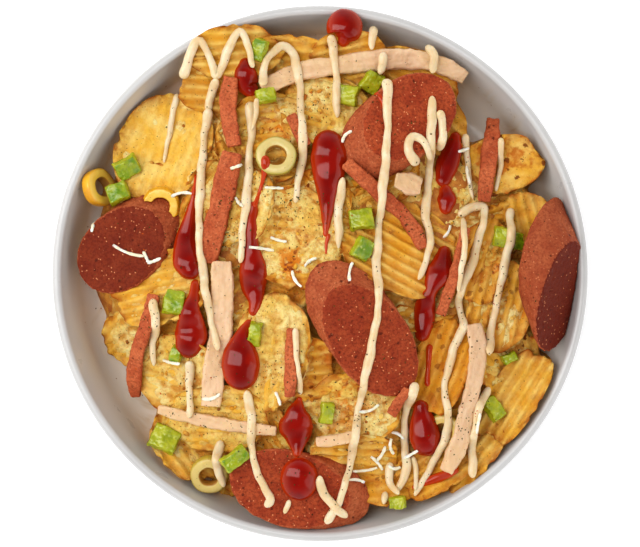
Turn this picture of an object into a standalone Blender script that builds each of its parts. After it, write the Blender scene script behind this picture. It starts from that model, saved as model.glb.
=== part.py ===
"""A round, steep-sided plate heaped with loaded nachos.

Ridged chips lie in a mound bound by melted cheese. Sausage slices and strips, chicken strips, olive
rings, diced green pepper and drops of red sauce lie on it, and a pale sauce is drizzled over everything.
The origin is the centre of the plate's foot, +Z is up, and +Y is the far side of the plate.
"""

import math
import random

import bmesh
import bpy
from mathutils import Matrix, Vector, noise
from mathutils.bvhtree import BVHTree

MM = 0.001
SEED = 7

# The plate.
RIM_RADIUS = 130 * MM
RIM_HEIGHT = 42 * MM
WALL = 4.6 * MM
WALL_LEAN = math.radians(14)
FLOOR_RADIUS = 104 * MM
FLOOR_HEIGHT = 7 * MM
COVE_RADIUS = 16 * MM
FOOT_RADIUS = 84 * MM
FOOT_WIDTH = 6 * MM
FOOT_HEIGHT = 3 * MM
PLATE_STEPS = 44

# The mound of chips and cheese.
GAP = 0.35 * MM
SWELL_LIMIT = 2.5
MOUND_RISE = 35 * MM
MOUND_FULLNESS = 4.0
MOUND_SHOULDER = 0.6
MOUND_BUMP = 2.2 * MM
MOUND_LIP = 4 * MM
FLOOR_CLEARANCE = 0.4 * MM
COVE_CLEARANCE = 1.2 * MM
MOUND_EDGE_DEGREES = {
    0: 107, 15: 110, 30: 109, 45: 99, 60: 107, 75: 116, 90: 117, 105: 117,
    120: 117, 135: 113, 150: 114, 165: 115, 180: 115, 195: 109, 210: 106, 225: 107,
    240: 112, 255: 115, 270: 117, 285: 113, 300: 116, 315: 114, 330: 117, 345: 112,
}
MOUND_TOP_RINGS = (0.0, 0.3, 0.55, 0.76, 0.9, 1.0)
MOUND_UNDER_RINGS = (1.0, 0.97, 0.93, 0.0)
MOUND_SEGMENTS = 30
RAY_HEIGHT = 200 * MM
SHARP_ANGLE = math.radians(40)

# A ridged chip.
CHIP_DEPTH = 3.2 * MM
CHIP_UNDERCUT = 0.86
RIDGE_PITCH = 5 * MM
RIDGE_HEIGHT = 1.1 * MM
CHIP_OUTLINE = 2.5
CHIP_BLUNTNESS = 0.3
CHIP_WOBBLE = 0.07
CHIP_CUP = 2.4 * MM
CHIP_LIFT = 2 * MM
CHIP_FOLLOW = 0.6
PLAIN_COLUMNS = 4
RIDGED_CHIPS = ("left_large", "ridged_centre", "right_edge_ridged")

# The toppings.
SAUSAGE_RADIUS = 19 * MM
SAUSAGE_SIDES = 24
SAUSAGE_BEVEL = 1 * MM
STRIP_THICKNESS = 3.2 * MM
CHICKEN_THICKNESS = 2.8 * MM
OLIVE_RADIUS = 9 * MM
OLIVE_HOLE = 4.6 * MM
OLIVE_HEIGHT = 5.5 * MM
OLIVE_SIDES = 14
STRIP_STEP = 9 * MM
STRIP_TAPER = 0.86
STRIP_LEAN_LIMIT = 0.35
PEPPER_THICKNESS = 4.5 * MM
PEPPER_TAPER = 0.88
PEPPER_BEND = 1.1 * MM
DROP_STEP = 7 * MM
SPAN_STEPS = 12
DROP_SINK = 0.8 * MM
# Each end of a drop closes in two steps: how far on, and how wide, as shares of its half width.
DROP_ENDS = ((0.55, 0.83), (0.37, 0.4))
DROP_DOME = 0.62
DROP_SECTION = ((-1, 0), (-0.72, 0.68), (0, 1), (0.72, 0.68), (1, 0))
SAUCE_WIDTH = 4.4 * MM
SAUCE_LIFT = 0.9 * MM
SAUCE_TIP = 0.75
SAUCE_STEP = 3 * MM
SAUCE_EASE = 3
SAUCE_TOLERANCE = 1.7 * MM
SAUCE_SECTION = ((-1, -1), (-0.6, 0.8), (0.6, 0.8), (1, -1))

# Chips that show: centre in mm, half length and half width in mm, bearing of the ridges, tilt and its
# bearing. Those by the wall also give the height of their centre in mm. The others follow the mound.
CHIPS = {
    "far_left_rim": ((-41, 107), (22, 13), 2, 8, 300, 43),
    "far_left_edge": ((-49, 92), (20, 14), -4, 10, 310, 38),
    "far_middle": ((-15, 101), (22, 15), -8, 10, 275, 37),
    "far_top": ((14, 104), (18, 14), 12, 10, 262, 39),
    "left_large": ((-76, 61), (26, 23), 74, 6, 330),
    "far_centre": ((-22, 71), (21, 17), 8, 10, 80),
    "far_right_edge": ((46, 95), (21, 14), 152, 10, 240, 34),
    "right_of_top_slice": ((56, 74), (17, 14), 140, 10, 230, 35),
    "right_spotted": ((88, 53), (20, 14), 12, 8, 210, 33),
    "ridged_centre": ((38, 12), (27, 22), -28, 14, 60),
    "cheese_centre": ((-11, 17), (25, 24), -6, 6, 90),
    "left_middle": ((-78, -7), (24, 18), 12, 14, 110),
    "left_low": ((-92, -31), (18, 14), 30, 14, 200),
    "near_left": ((-68, -49), (22, 20), -12, 12, 220),
    "centre_low": ((-23, -37), (27, 18), 84, 8, 180),
    "small_ridged": ((-5, -46), (12, 15), 2, 8, 260),
    "near_left_inner": ((-50, -70), (25, 17), 6, 10, 250),
    "near_centre": ((17, -64), (22, 18), 14, 8, 270),
    "near_edge_centre": ((16, -90), (23, 15), -8, 14, 280),
    "near_edge_right": ((33, -99), (17, 14), 8, 8, 110, 35),
    "near_edge_left": ((-66, -84), (20, 14), 128, 10, 52, 29),
    "right_orange": ((59, -45), (24, 14), 68, 16, 150),
    "right_golden": ((87, -16), (22, 16), 76, 8, 200),
    "right_near": ((90, -42), (19, 17), -38, 10, 330),
    "right_edge_ridged": ((95, -60), (25, 12), 58, 18, 148, 38),
    "near_right_low": ((71, -86), (22, 14), 50, 12, 135, 35),
    "under_tangle": ((78, 6), (20, 15), 66, 12, 20),
    "right_far_edge": ((102, 25), (15, 12), 104, 10, 194, 33),
    "herb_centre_left": ((-40, 33), (20, 18), 80, 8, 160),
    "herb_far": ((2, 78), (21, 18), -14, 10, 80),
    "near_right_edge": ((56, -95), (19, 12), 32, 12, 121, 36),
}

# Oblique sausage slices: centre of the cut face in mm, its half length and the slice's thickness in mm,
# bearing of the end where the skin side shows, tilt of the face and its bearing, height of the centre in mm.
SLICES = {
    "left": ((-96.5, 11.5), 25, 10, 40, 10, 200, 42),
    "top": ((43, 75), 26, 12, 218, 12, 30, 54),
    "middle": ((24, -32), 31, 10, 125, 8, 305, 57),
    "right": ((116, -11), 28, 17, 74, 52, 344, 47),
    "bottom": ((-15, -104), 30, 9, 345, 6, 270, 45),
}

# Strips cut from the sausage: width in mm, then points of the centreline in mm.
SAUSAGE_STRIPS = {
    "far_left": (9, ((-43, 95), (-44.5, 82), (-43, 69), (-41, 61))),
    "centre_left": (12, ((-42, 58), (-45, 46), (-48, 32), (-52, 18), (-55, 5))),
    "centre": (8, ((12, 53), (21, 45), (32, 35.5), (41, 27.5), (48, 17), (50, 12))),
    "far_right": (9, ((85, 76), (82.5, 57), (79.5, 35))),
    "right": (6, ((70, 22), (66, 5), (62, -8), (58, -20))),
    "left": (8, ((-80, -10), (-83, -23), (-88, -36), (-91, -49), (-91, -61))),
    "centre_low": (7, ((-13.5, -26), (-14, -42), (-14.5, -59))),
    "near_right": (7, ((42, -55), (38, -61), (34, -68))),
    "far_centre": (7, ((-14, 76), (-10, 68), (-7, 61))),
}

CHICKEN_STRIPS = {
    "far": (10, ((-28, 89), (-13, 97), (2, 100), (17, 102), (34, 104), (50, 103.5), (62, 100), (71, 95))),
    "left_wide": (13, ((-47, 6), (-47, -8), (-47.5, -20), (-48, -32), (-51, -48), (-52.5, -64))),
    "near_left": (7, ((-79, -66), (-63, -70), (-46, -73), (-21, -76))),
    "near_centre": (7, ((-2, -81), (7, -80), (18, -78))),
    "right": (10, ((74, -24), (76, -35), (75, -47), (73, -58), (70, -70), (68, -80), (64, -90), (61, -96))),
    "centre": (11, ((36, 45), (42, 43.5), (49, 42))),
}

# Olive rings: centre in mm, tilt and its bearing, and the centre's height in mm for the one under a slice.
OLIVES = {
    "left": ((-108, 42), 52, 10),
    "far": ((-21, 56), 8, 90),
    "behind_left_slice": ((-77, 33), 14, 250, 40),
    "near": ((-54, -98), 24, 260),
    "near_right": ((60, -77), 20, 200),
}

# Diced green pepper: centre in mm, length and width in mm, bearing, tilt.
PEPPERS = {
    "far_a": ((-29, 108), (11, 8), 70, 20),
    "far_b": ((-26, 85), (10, 7), 10, 15),
    "far_c": ((14, 86), (10, 10), 80, 12),
    "far_d": ((25, 93), (11, 10), 60, 20),
    "left_a": ((-94, 52), (12, 9), 30, 24),
    "left_b": ((-98, 39), (11, 10), 20, 16),
    "centre_a": ((20, 26), (12, 11), 8, 12),
    "centre_b": ((20, 12), (11, 9), 60, 24),
    "left_c": ((-70, -14), (12, 10), 80, 14),
    "left_d": ((-69, -39), (9, 6), 70, 24),
    "centre_c": ((-31, -29), (12, 6), 80, 18),
    "near_a": ((3, -67), (11, 7), 84, 16),
    "near_b": ((-76, -81), (14, 12), -24, 16),
    "near_c": ((-41, -89), (14, 8), 34, 16),
    "right_a": ((88, 18), (10, 8), 80, 14),
    "right_b": ((96, 16), (9, 6), 86, 18),
    "right_c": ((92, -41), (8, 5), 24, 10),
    "right_d": ((84, -66), (12, 8), -56, 20),
    "near_d": ((38, -111), (8, 6), 6, 20),
}

# Drops of red sauce: points of the drop's spine in mm, each with the half width in mm there.
RED_DROPS = {
    "far": (((12, 119), 9.2), ((12.5, 116), 7.8), ((11.5, 113), 3.2)),
    "far_left": (((-36, 101), 3.4), ((-36, 97), 5.6), ((-35, 91), 5.6), ((-34.5, 90), 4.6)),
    "large_tear": (
        ((4, 61), 8), ((4.5, 55), 9.3), ((4, 45), 7.2), ((3.6, 36), 4.5), ((3.2, 27), 2.7), ((2.7, 19), 1.3),
    ),
    "centre_left_tear": (
        ((-32, 32), 2.5), ((-33, 22), 3.2), ((-33, 13), 4), ((-32, 2), 6.8), ((-32, -6), 6.4),
        ((-31, -13), 3.8), ((-32, -18), 2.4),
    ),
    "centre_left_drop": (
        ((-34.5, -24), 2), ((-37, -29.5), 4), ((-38, -37), 8.2), ((-38, -44), 9.6), ((-38, -47), 9),
    ),
    "left_tear": (((-61, 38), 1.4), ((-63, 27), 3), ((-65, 16), 5.4), ((-64, 6), 7.2), ((-63, 3), 6)),
    "left_drop": (
        ((-60, -5), 2.2), ((-60.5, -11), 3), ((-62, -17), 4.8), ((-62, -24), 7), ((-62, -30), 8.3),
        ((-63, -34), 6.8),
    ),
    "right_upper": (((66, 66), 3), ((65, 61), 4.4), ((62, 53), 5.8), ((60, 46), 4)),
    "right_small": (((61, 40), 3.2), ((61.5, 36), 5), ((61, 32), 3.4)),
    "right_long": (
        ((60, 10), 3.4), ((59, 5), 5.4), ((58, 1), 7), ((55, -4), 5.2), ((53, -9), 3.2), ((51, -14.5), 5),
        ((50.5, -22), 5.2), ((49.5, -29), 3.8),
    ),
    "near_right": (((49, -65), 3.8), ((50, -72), 6.6), ((51, -79), 7.8), ((51.5, -81.5), 7.4)),
    "near_tear": (
        ((-10, -61), 1.6), ((-11, -66), 5), ((-11, -70), 7.4), ((-11.5, -74), 8.8), ((-11, -78), 7.4),
        ((-11, -82.5), 4.4), ((-11, -86), 2.4),
    ),
    "near_round": (((-10, -98), 9.4), ((-10, -100), 9.4)),
}

# Lines of the pale sauce: points in mm.
PALE_LINES = {
    "zigzag": (
        (-66, 94), (-63, 105), (-58, 112), (-53, 104), (-50, 95), (-45, 106), (-39, 117), (-35, 110),
        (-32, 99),
    ),
    "zigzag_tail": ((-50, 94), (-53, 86), (-54, 78)),
    "far_loop": (
        (-28, 90), (-26, 102), (-19, 110), (-13, 106), (-10, 92), (-9, 75), (-8, 60), (-10, 47), (-12, 34),
    ),
    "left_short": ((-70, 88), (-73, 72), (-76, 54)),
    "left_long": ((-54, 80), (-56, 67), (-57, 52), (-58, 35), (-58, 16), (-56, 0), (-54, -14), (-49, -37)),
    "centre_left": ((-34, 83), (-33, 70), (-34, 55), (-35, 38), (-37, 20), (-38, 5)),
    "far_centre": ((5, 115), (7, 104), (8, 90), (8, 75)),
    "far_stub_a": ((26, 120), (25, 108)),
    "far_stub_b": ((31, 107), (29, 96)),
    "longest": (
        (32, 93), (32, 67), (30, 40), (28, 18), (27, 2), (28, -12), (25, -32), (21, -52), (18, -69),
        (15, -90), (10, -108), (3, -121),
    ),
    "right_main": ((54, 85), (53, 67), (53, 48), (51, 30), (53, 16), (51, 6), (47, -3)),
    "right_curl": ((47, 52), (42, 58), (44, 65), (50, 62), (53, 54)),
    "right_thin": ((71, 68), (72, 56), (74, 36)),
    "tangle": (
        (67, 28), (74, 32), (80, 32), (77, 18), (73, 4), (67, -11), (69, -24), (64, -38), (60, -56),
        (62, -72), (58, -86), (46, -108),
    ),
    "tangle_left": ((69, 27), (69, 12), (66, -9)),
    "far_right_line": ((93, 32), (92, 16), (88, -2), (84, -22), (81, -39)),
    "near_right_line": ((82, -55), (76, -67), (74, -82), (74, -99)),
    "near_line": ((46, -52), (42, -65), (41, -79), (42, -94), (38, -106)),
    "near_stub": ((34, -92), (34, -101), (38, -107)),
    "left_stub": ((-80, -12), (-79, -25), (-81, -35), (-81, -45)),
    "near_left_stub": ((-63, -42), (-63, -56), (-63, -70)),
    "near_left_line": ((-35, -56), (-33, -71), (-33, -84), (-31, -93), (-27, -103), (-24, -109), (-26, -113)),
    "centre_low_line": ((-12, -26), (-11, -40), (-9, -58)),
    "near_hook": ((0, -97), (1, -105), (6, -111), (13, -118)),
    "centre_right_stub": ((11, 46), (9, 31), (9, 12)),
}

# Colours in linear light, with roughness.
FINISHES = {
    "glaze": ((0.86, 0.85, 0.83), 0.15),
    "chips": ((0.80, 0.52, 0.13), 0.6),
    "sausage": ((0.42, 0.10, 0.055), 0.45),
    "chicken": ((0.80, 0.58, 0.42), 0.5),
    "olive": ((0.55, 0.42, 0.06), 0.35),
    "pepper": ((0.30, 0.45, 0.03), 0.35),
    "red_sauce": ((0.32, 0.008, 0.002), 0.12),
    "pale_sauce": ((0.88, 0.80, 0.58), 0.3),
}


def clear_scene():
    for obj in list(bpy.data.objects):
        bpy.data.objects.remove(obj)


def new_collection(name):
    made = bpy.data.collections.new(name)
    bpy.context.scene.collection.children.link(made)
    return made


def material(name):
    """The Principled material of that finish, made once."""
    made = bpy.data.materials.get(name)
    if made is None:
        (red, green, blue), roughness = FINISHES[name]
        made = bpy.data.materials.new(name)
        made.use_nodes = True
        made.diffuse_color = (red, green, blue, 1)
        shader = made.node_tree.nodes["Principled BSDF"]
        shader.inputs["Base Color"].default_value = (red, green, blue, 1)
        shader.inputs["Roughness"].default_value = roughness
        shader.inputs["Metallic"].default_value = 0
    return made


def shade_round(obj):
    """Smooth shading, with the cut edges kept sharp."""
    obj.data.shade_smooth()
    obj.data.set_sharp_from_angle(angle=SHARP_ANGLE)


def add_object(name, mesh, collection, finish):
    obj = bpy.data.objects.new(name, mesh)
    collection.objects.link(obj)
    mesh.materials.clear()
    mesh.materials.append(material(finish))
    return obj


def mesh_of(name, bm):
    """Turns a bmesh into a mesh of triangles that all face outward, and frees it."""
    bmesh.ops.recalc_face_normals(bm, faces=bm.faces)
    bmesh.ops.triangulate(bm, faces=bm.faces)
    mesh = bpy.data.meshes.new(name)
    bm.to_mesh(mesh)
    bm.free()
    return mesh


def evaluated_mesh(obj):
    graph = bpy.context.evaluated_depsgraph_get()
    return bpy.data.meshes.new_from_object(obj.evaluated_get(graph))


def apply_modifiers(obj):
    mesh = evaluated_mesh(obj)
    obj.modifiers.clear()
    obj.data = mesh


def polar(radius, bearing):
    return Vector((radius * math.cos(bearing), radius * math.sin(bearing), 0))


def unit(degrees):
    return polar(1, math.radians(degrees))


def point(pair):
    """A point of a plan table, from mm."""
    return Vector((pair[0] * MM, pair[1] * MM, 0))


def arc(centre, radius, start, end, steps):
    """Points (r, z) along an arc, its ends included. Angles are in degrees from +r."""
    for i in range(steps + 1):
        angle = math.radians(start + (end - start) * i / steps)
        yield centre[0] + radius * math.cos(angle), centre[1] + radius * math.sin(angle)


def floor_profile(radius):
    """Height of the plate's inner surface at that distance from its centre."""
    if radius <= FLOOR_RADIUS:
        return FLOOR_HEIGHT
    out = radius - FLOOR_RADIUS
    if out < COVE_RADIUS * math.cos(WALL_LEAN):
        return FLOOR_HEIGHT + COVE_RADIUS - math.sqrt(COVE_RADIUS**2 - out**2)
    wall_start = FLOOR_HEIGHT + COVE_RADIUS * (1 - math.sin(WALL_LEAN))
    return wall_start + (out - COVE_RADIUS * math.cos(WALL_LEAN)) / math.tan(WALL_LEAN)


def make_plate(collection):
    """A turned shell: floor, cove, leaning wall, round rim, outer wall and foot ring."""
    lean = math.degrees(WALL_LEAN)
    rim = WALL / 2
    rim_centre = (RIM_RADIUS - rim, RIM_HEIGHT - rim)
    outer_cove = COVE_RADIUS + WALL * 0.8
    cove_centre = (FLOOR_RADIUS, FLOOR_HEIGHT + COVE_RADIUS)
    profile = [(0, FLOOR_HEIGHT)]
    profile += arc(cove_centre, COVE_RADIUS, -90, -lean, 4)
    profile += arc(rim_centre, rim, 180 - lean, -lean, 4)
    profile += arc(cove_centre, outer_cove, -lean, -80, 3)
    profile += [
        (FOOT_RADIUS + FOOT_WIDTH, FOOT_HEIGHT * 0.8),
        (FOOT_RADIUS + FOOT_WIDTH - FOOT_HEIGHT / 4, 0),
        (FOOT_RADIUS, 0),
        (FOOT_RADIUS - FOOT_HEIGHT / 2, FOOT_HEIGHT * 0.8),
        (0, FOOT_HEIGHT * 0.8),
    ]
    bm = bmesh.new()
    verts = [bm.verts.new((r, 0, z)) for r, z in profile]
    for a, b in zip(verts, verts[1:]):
        bm.edges.new((a, b))
    mesh = bpy.data.meshes.new("plate")
    bm.to_mesh(mesh)
    bm.free()
    plate = add_object("plate", mesh, collection, "glaze")
    screw = plate.modifiers.new("turn", "SCREW")
    screw.steps = screw.render_steps = PLATE_STEPS
    screw.use_merge_vertices = True
    screw.merge_threshold = 0.1 * MM
    screw.use_smooth_shade = True
    return plate


def mound_edge(bearing):
    """Radius of the mound's foot at that bearing, smoothly between the listed ones."""
    radii = list(MOUND_EDGE_DEGREES.values())
    place = (bearing / math.tau % 1) * len(radii)
    before = int(place) % len(radii)
    share = place - int(place)
    share = share * share * (3 - 2 * share)
    here, there = radii[before], radii[(before + 1) % len(radii)]
    return (here + (there - here) * share) * MM


def mound_height(x, y):
    """Height of the bare mound, under its chips."""
    radius = math.hypot(x, y)
    outward = min(radius / mound_edge(math.atan2(y, x)), 1)
    rise = MOUND_RISE * (1 - outward**MOUND_FULLNESS) ** MOUND_SHOULDER
    bump = MOUND_BUMP * noise.noise(Vector((x, y, SEED * MM)) / (30 * MM)) * (1 - outward)
    return FLOOR_HEIGHT + MOUND_LIP + rise + 2 * bump


def mound_normal(x, y):
    step = 4 * MM
    slope_x = (mound_height(x + step, y) - mound_height(x - step, y)) / (2 * step)
    slope_y = (mound_height(x, y + step) - mound_height(x, y - step)) / (2 * step)
    return Vector((-slope_x, -slope_y, 1)).normalized()


def make_mound(collection):
    """The bare core: a top of rings, and an underside that follows the plate."""
    bm = bmesh.new()
    bearings = [math.tau * i / MOUND_SEGMENTS for i in range(MOUND_SEGMENTS)]

    def ring(share, height):
        if share == 0:
            return [bm.verts.new((0, 0, height(0, 0)))]
        made = []
        for bearing in bearings:
            at = polar(mound_edge(bearing) * share, bearing)
            made.append(bm.verts.new((at.x, at.y, height(at.x, at.y))))
        return made

    def top(x, y):
        return max(mound_height(x, y), floor_profile(math.hypot(x, y)) + MOUND_LIP)

    def underside(x, y):
        return floor_profile(math.hypot(x, y) + COVE_CLEARANCE) + FLOOR_CLEARANCE

    rings = [ring(share, top) for share in MOUND_TOP_RINGS]
    rings += [ring(share, underside) for share in MOUND_UNDER_RINGS]
    for inner, outer in zip(rings, rings[1:]):
        for i in range(MOUND_SEGMENTS):
            j = (i + 1) % MOUND_SEGMENTS
            corners = [ring[k % len(ring)] for ring, k in ((inner, i), (outer, i), (outer, j), (inner, j))]
            bm.faces.new(list(dict.fromkeys(corners)))
    return add_object("mound", mesh_of("mound", bm), collection, "chips")


def chip_half_length(s, wobble):
    """Share of the chip's half length at s, from -1 to 1 across its ridges."""
    outline = (1 - abs(s) ** CHIP_OUTLINE) ** (1 / CHIP_OUTLINE)
    return max(outline, CHIP_BLUNTNESS) * (1 + CHIP_WOBBLE * math.sin(4 * s + wobble))


def make_chip(name, row, ridged, collection, rng):
    """A plate that is cupped across, with straight ridges or without, laid on the mound by its tilt."""
    centre, (half_length, half_width), ridge_bearing, tilt, tilt_bearing, *given_height = row
    half_length, half_width = half_length * MM, half_width * MM
    columns, crest = PLAIN_COLUMNS, 0
    if ridged:
        columns, crest = 2 * round(2 * half_width / RIDGE_PITCH), RIDGE_HEIGHT / 2
    wobble, twist = rng.uniform(0, math.tau), rng.uniform(-1.5, 1.5) * MM
    bm = bmesh.new()
    corners = {}
    for side in (1, -1):
        for i in range(columns + 1):
            s = -1 + 2 * i / columns
            ridge = crest * (1 if i % 2 else -1)
            length = half_length * chip_half_length(s * 0.97, wobble)
            inset, drop = (1, 0) if side == 1 else (CHIP_UNDERCUT, CHIP_DEPTH)
            for end in (-1, 1):
                height = CHIP_CUP * s * s + twist * s * end + ridge - drop
                corners[side, i, end] = bm.verts.new((end * length * inset, s * half_width * inset, height))
    for side in (1, -1):
        for i in range(columns):
            bm.faces.new([corners[side, a, end] for a, end in ((i, -1), (i + 1, -1), (i + 1, 1), (i, 1))])
    border = [(i, -1) for i in range(columns + 1)] + [(i, 1) for i in range(columns, -1, -1)]
    for a, b in zip(border, border[1:] + border[:1]):
        bm.faces.new((corners[(1, *a)], corners[(1, *b)], corners[(-1, *b)], corners[(-1, *a)]))
    chip = add_object(name, mesh_of(name, bm), collection, "chips")
    at = point(centre)
    up = Vector((0, 0, 1))
    if given_height:
        at.z = given_height[0] * MM
    else:
        at.z = mound_height(at.x, at.y) + CHIP_LIFT
        up = up.lerp(mound_normal(at.x, at.y), CHIP_FOLLOW).normalized()
    chip.matrix_world = frame_at(at, tilted(up, tilt, tilt_bearing), unit(ridge_bearing))
    return chip


def tilted(up, tilt, tilt_bearing):
    """The direction up, leaned over by a tilt in degrees towards a bearing."""
    return (up + unit(tilt_bearing) * math.tan(math.radians(tilt))).normalized()


def frame_at(at, up, along):
    """Matrix with +Z on up and +X as near as it can be to along."""
    side = up.cross(along).normalized()
    ahead = side.cross(up)
    turned = Matrix((ahead, side, up)).transposed().to_4x4()
    return Matrix.Translation(at) @ turned


class Surface:
    """The upper surface of what has been laid so far, as seen from above."""

    def __init__(self):
        self.trees = []

    def add(self, *objects):
        bpy.context.view_layer.update()
        for obj in objects:
            mesh = evaluated_mesh(obj)
            mesh.transform(obj.matrix_world)
            polygons = [tuple(face.vertices) for face in mesh.polygons]
            self.trees.append(BVHTree.FromPolygons([v.co.copy() for v in mesh.vertices], polygons))
            bpy.data.meshes.remove(mesh)

    def height(self, x, y):
        start = Vector((x, y, RAY_HEIGHT))
        hits = [tree.ray_cast(start, Vector((0, 0, -1)))[0] for tree in self.trees]
        heights = [hit.z for hit in hits if hit is not None]
        return max(heights, default=floor_profile(math.hypot(x, y)))

    def high_spot(self, x, y, reach):
        """The highest of the surface at the point and round it."""
        around = [polar(reach, math.tau * k / 6) for k in range(6)] + [Vector()]
        return max(self.height(x + v.x, y + v.y) for v in around)

    def resting_height(self, x, y, reach):
        """A height that a piece of that reach rests at: between the mean and the highest."""
        around = [polar(reach * share, math.tau * k / 6) for k in range(6) for share in (0.5, 1)]
        heights = sorted(self.height(x + v.x, y + v.y) for v in around)
        return heights[-2]


def make_slice(name, row, collection):
    """A cylinder cut obliquely twice: its faces are ellipses, and its skin side leans to one bearing."""
    centre, half_length, thickness, skin_bearing, tilt, tilt_bearing, height = row
    half_length, thickness = half_length * MM, thickness * MM
    lean = math.sqrt((half_length / SAUSAGE_RADIUS) ** 2 - 1)
    radii = {"radius1": SAUSAGE_RADIUS, "radius2": SAUSAGE_RADIUS}
    bm = bmesh.new()
    bmesh.ops.create_cone(bm, cap_ends=True, segments=SAUSAGE_SIDES, depth=thickness, **radii)
    for v in bm.verts:
        below = v.co.z - thickness / 2
        v.co.x = v.co.x * half_length / SAUSAGE_RADIUS - below * lean
        v.co.z = below
    rims = [edge for edge in bm.edges if any(len(face.verts) > 4 for face in edge.link_faces)]
    bmesh.ops.bevel(bm, geom=rims, offset=SAUSAGE_BEVEL, segments=1, affect="EDGES")
    piece = add_object(name, mesh_of(name, bm), collection, "sausage")
    at = point(centre)
    at.z = height * MM
    piece.matrix_world = frame_at(at, tilted(Vector((0, 0, 1)), tilt, tilt_bearing), unit(skin_bearing))
    return piece


def between(a, b, c, d, t):
    """Point at t, from 0 to 1, of the Catmull-Rom span from b to c."""
    square = (2 * a - 5 * b + 4 * c - d) * t**2
    cube = (3 * b - a - 3 * c + d) * t**3
    return (2 * b + (c - a) * t + square + cube) / 2


def smooth_line(points, step):
    """Evenly spaced points along a smooth curve through the given ones."""
    ends = [2 * points[0] - points[1], *points, 2 * points[-1] - points[-2]]
    dense = []
    for four in zip(ends, ends[1:], ends[2:], ends[3:]):
        dense += [between(*four, k / SPAN_STEPS) for k in range(SPAN_STEPS)]
    dense.append(points[-1])
    lengths = [0]
    for a, b in zip(dense, dense[1:]):
        lengths.append(lengths[-1] + (b - a).length)
    count = max(2, round(lengths[-1] / step))
    made, k = [], 0
    for i in range(count + 1):
        want = lengths[-1] * i / count
        while k < len(dense) - 2 and lengths[k + 1] < want:
            k += 1
        span = max(lengths[k + 1] - lengths[k], 1e-9)
        made.append(dense[k].lerp(dense[k + 1], (want - lengths[k]) / span))
    return made


def settle(heights, passes):
    """Lets a line of heights hang smoothly over its high spots."""
    for _ in range(passes):
        ends = [heights[0], *heights, heights[-1]]
        heights = [max(h, (a + h + b) / 3) for a, h, b in zip(ends, heights, ends[2:])]
    return heights


def loft(sections):
    """A closed bmesh through rings of equally many points."""
    bm = bmesh.new()
    rings = [[bm.verts.new(p) for p in section] for section in sections]
    for a, b in zip(rings, rings[1:]):
        for i in range(len(a)):
            j = (i + 1) % len(a)
            bm.faces.new((a[i], a[j], b[j], b[i]))
    bm.faces.new(rings[0])
    bm.faces.new(list(reversed(rings[-1])))
    return bm


def make_strip(name, row, thickness, surface, collection, finish, rng):
    """A flat-sided strip that lies along the surface, leaning with it from side to side."""
    width, points = row
    line = smooth_line([point(p) for p in points], STRIP_STEP)
    last = len(line) - 1
    aheads = [(line[min(i + 1, last)] - line[max(i - 1, 0)]).normalized() for i in range(last + 1)]
    sides = [Vector((-a.y, a.x, 0)) for a in aheads]
    reach = width * MM / 2
    heights = settle([surface.resting_height(p.x, p.y, reach) for p in line], 3)
    sections = []
    for i, (at, side, height) in enumerate(zip(line, sides, heights)):
        half = reach * (1 + 0.12 * rng.uniform(-1, 1)) * (0.8 if i in (0, last) else 1)
        left, right = [surface.resting_height(p.x, p.y, 2 * MM) for p in (at + side * half, at - side * half)]
        lean = max(-STRIP_LEAN_LIMIT, min(STRIP_LEAN_LIMIT, (left - right) / (2 * half)))
        across = (side + Vector((0, 0, lean))).normalized() * half
        base = Vector((at.x, at.y, height + 0.4 * MM))
        up = Vector((0, 0, thickness))
        top = across * STRIP_TAPER
        sections.append([base - across, base + across, base + top + up, base - top + up])
    return add_object(name, mesh_of(name, loft(sections)), collection, finish)


def make_olive(name, row, surface, collection):
    """A barrel-sided ring, turned from its cut profile."""
    centre, tilt, tilt_bearing, *given_height = row
    half = OLIVE_HEIGHT / 2
    waist = OLIVE_RADIUS * 1.06
    shoulder = OLIVE_RADIUS * 0.94
    profile = [(OLIVE_HOLE, half), (shoulder, half), (waist, half * 0.3)]
    profile += [(r, -z) for r, z in reversed(profile)]
    bm = bmesh.new()
    verts = [bm.verts.new((r, 0, z)) for r, z in profile]
    for a, b in zip(verts, verts[1:] + verts[:1]):
        bm.edges.new((a, b))
    mesh = bpy.data.meshes.new(name)
    bm.to_mesh(mesh)
    bm.free()
    ring = add_object(name, mesh, collection, "olive")
    screw = ring.modifiers.new("turn", "SCREW")
    screw.steps = screw.render_steps = OLIVE_SIDES
    screw.use_merge_vertices = True
    screw.merge_threshold = 0.05 * MM
    at = point(centre)
    if given_height:
        at.z = given_height[0] * MM
    else:
        at.z = surface.resting_height(at.x, at.y, OLIVE_RADIUS * 0.8) + half
        at.z += OLIVE_RADIUS * 0.5 * math.sin(math.radians(tilt))
    ring.matrix_world = frame_at(at, tilted(Vector((0, 0, 1)), tilt, tilt_bearing), Vector((1, 0, 0)))
    apply_modifiers(ring)
    return ring


def make_pepper(name, row, surface, collection, rng):
    """A dice of pepper wall, bent like the wall that it was cut from."""
    centre, (length, width), bearing, tilt = row
    half_length, half_width = length * MM / 2, width * MM / 2
    sections = []
    for t in (-1, 0, 1):
        low = -PEPPER_BEND * t * t
        high = low + PEPPER_THICKNESS
        half = half_width * (1 + 0.1 * rng.uniform(-1, 1))
        x, top = half_length * t, half * PEPPER_TAPER
        sections.append([(x, -half, low), (x, half, low), (x * 0.92, top, high), (x * 0.92, -top, high)])
    piece = add_object(name, mesh_of(name, loft(sections)), collection, "pepper")
    at = point(centre)
    at.z = surface.resting_height(at.x, at.y, half_width) + 0.6 * MM
    tilt_bearing = rng.uniform(0, 360)
    piece.matrix_world = frame_at(at, tilted(Vector((0, 0, 1)), tilt, tilt_bearing), unit(bearing))
    return piece


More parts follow.
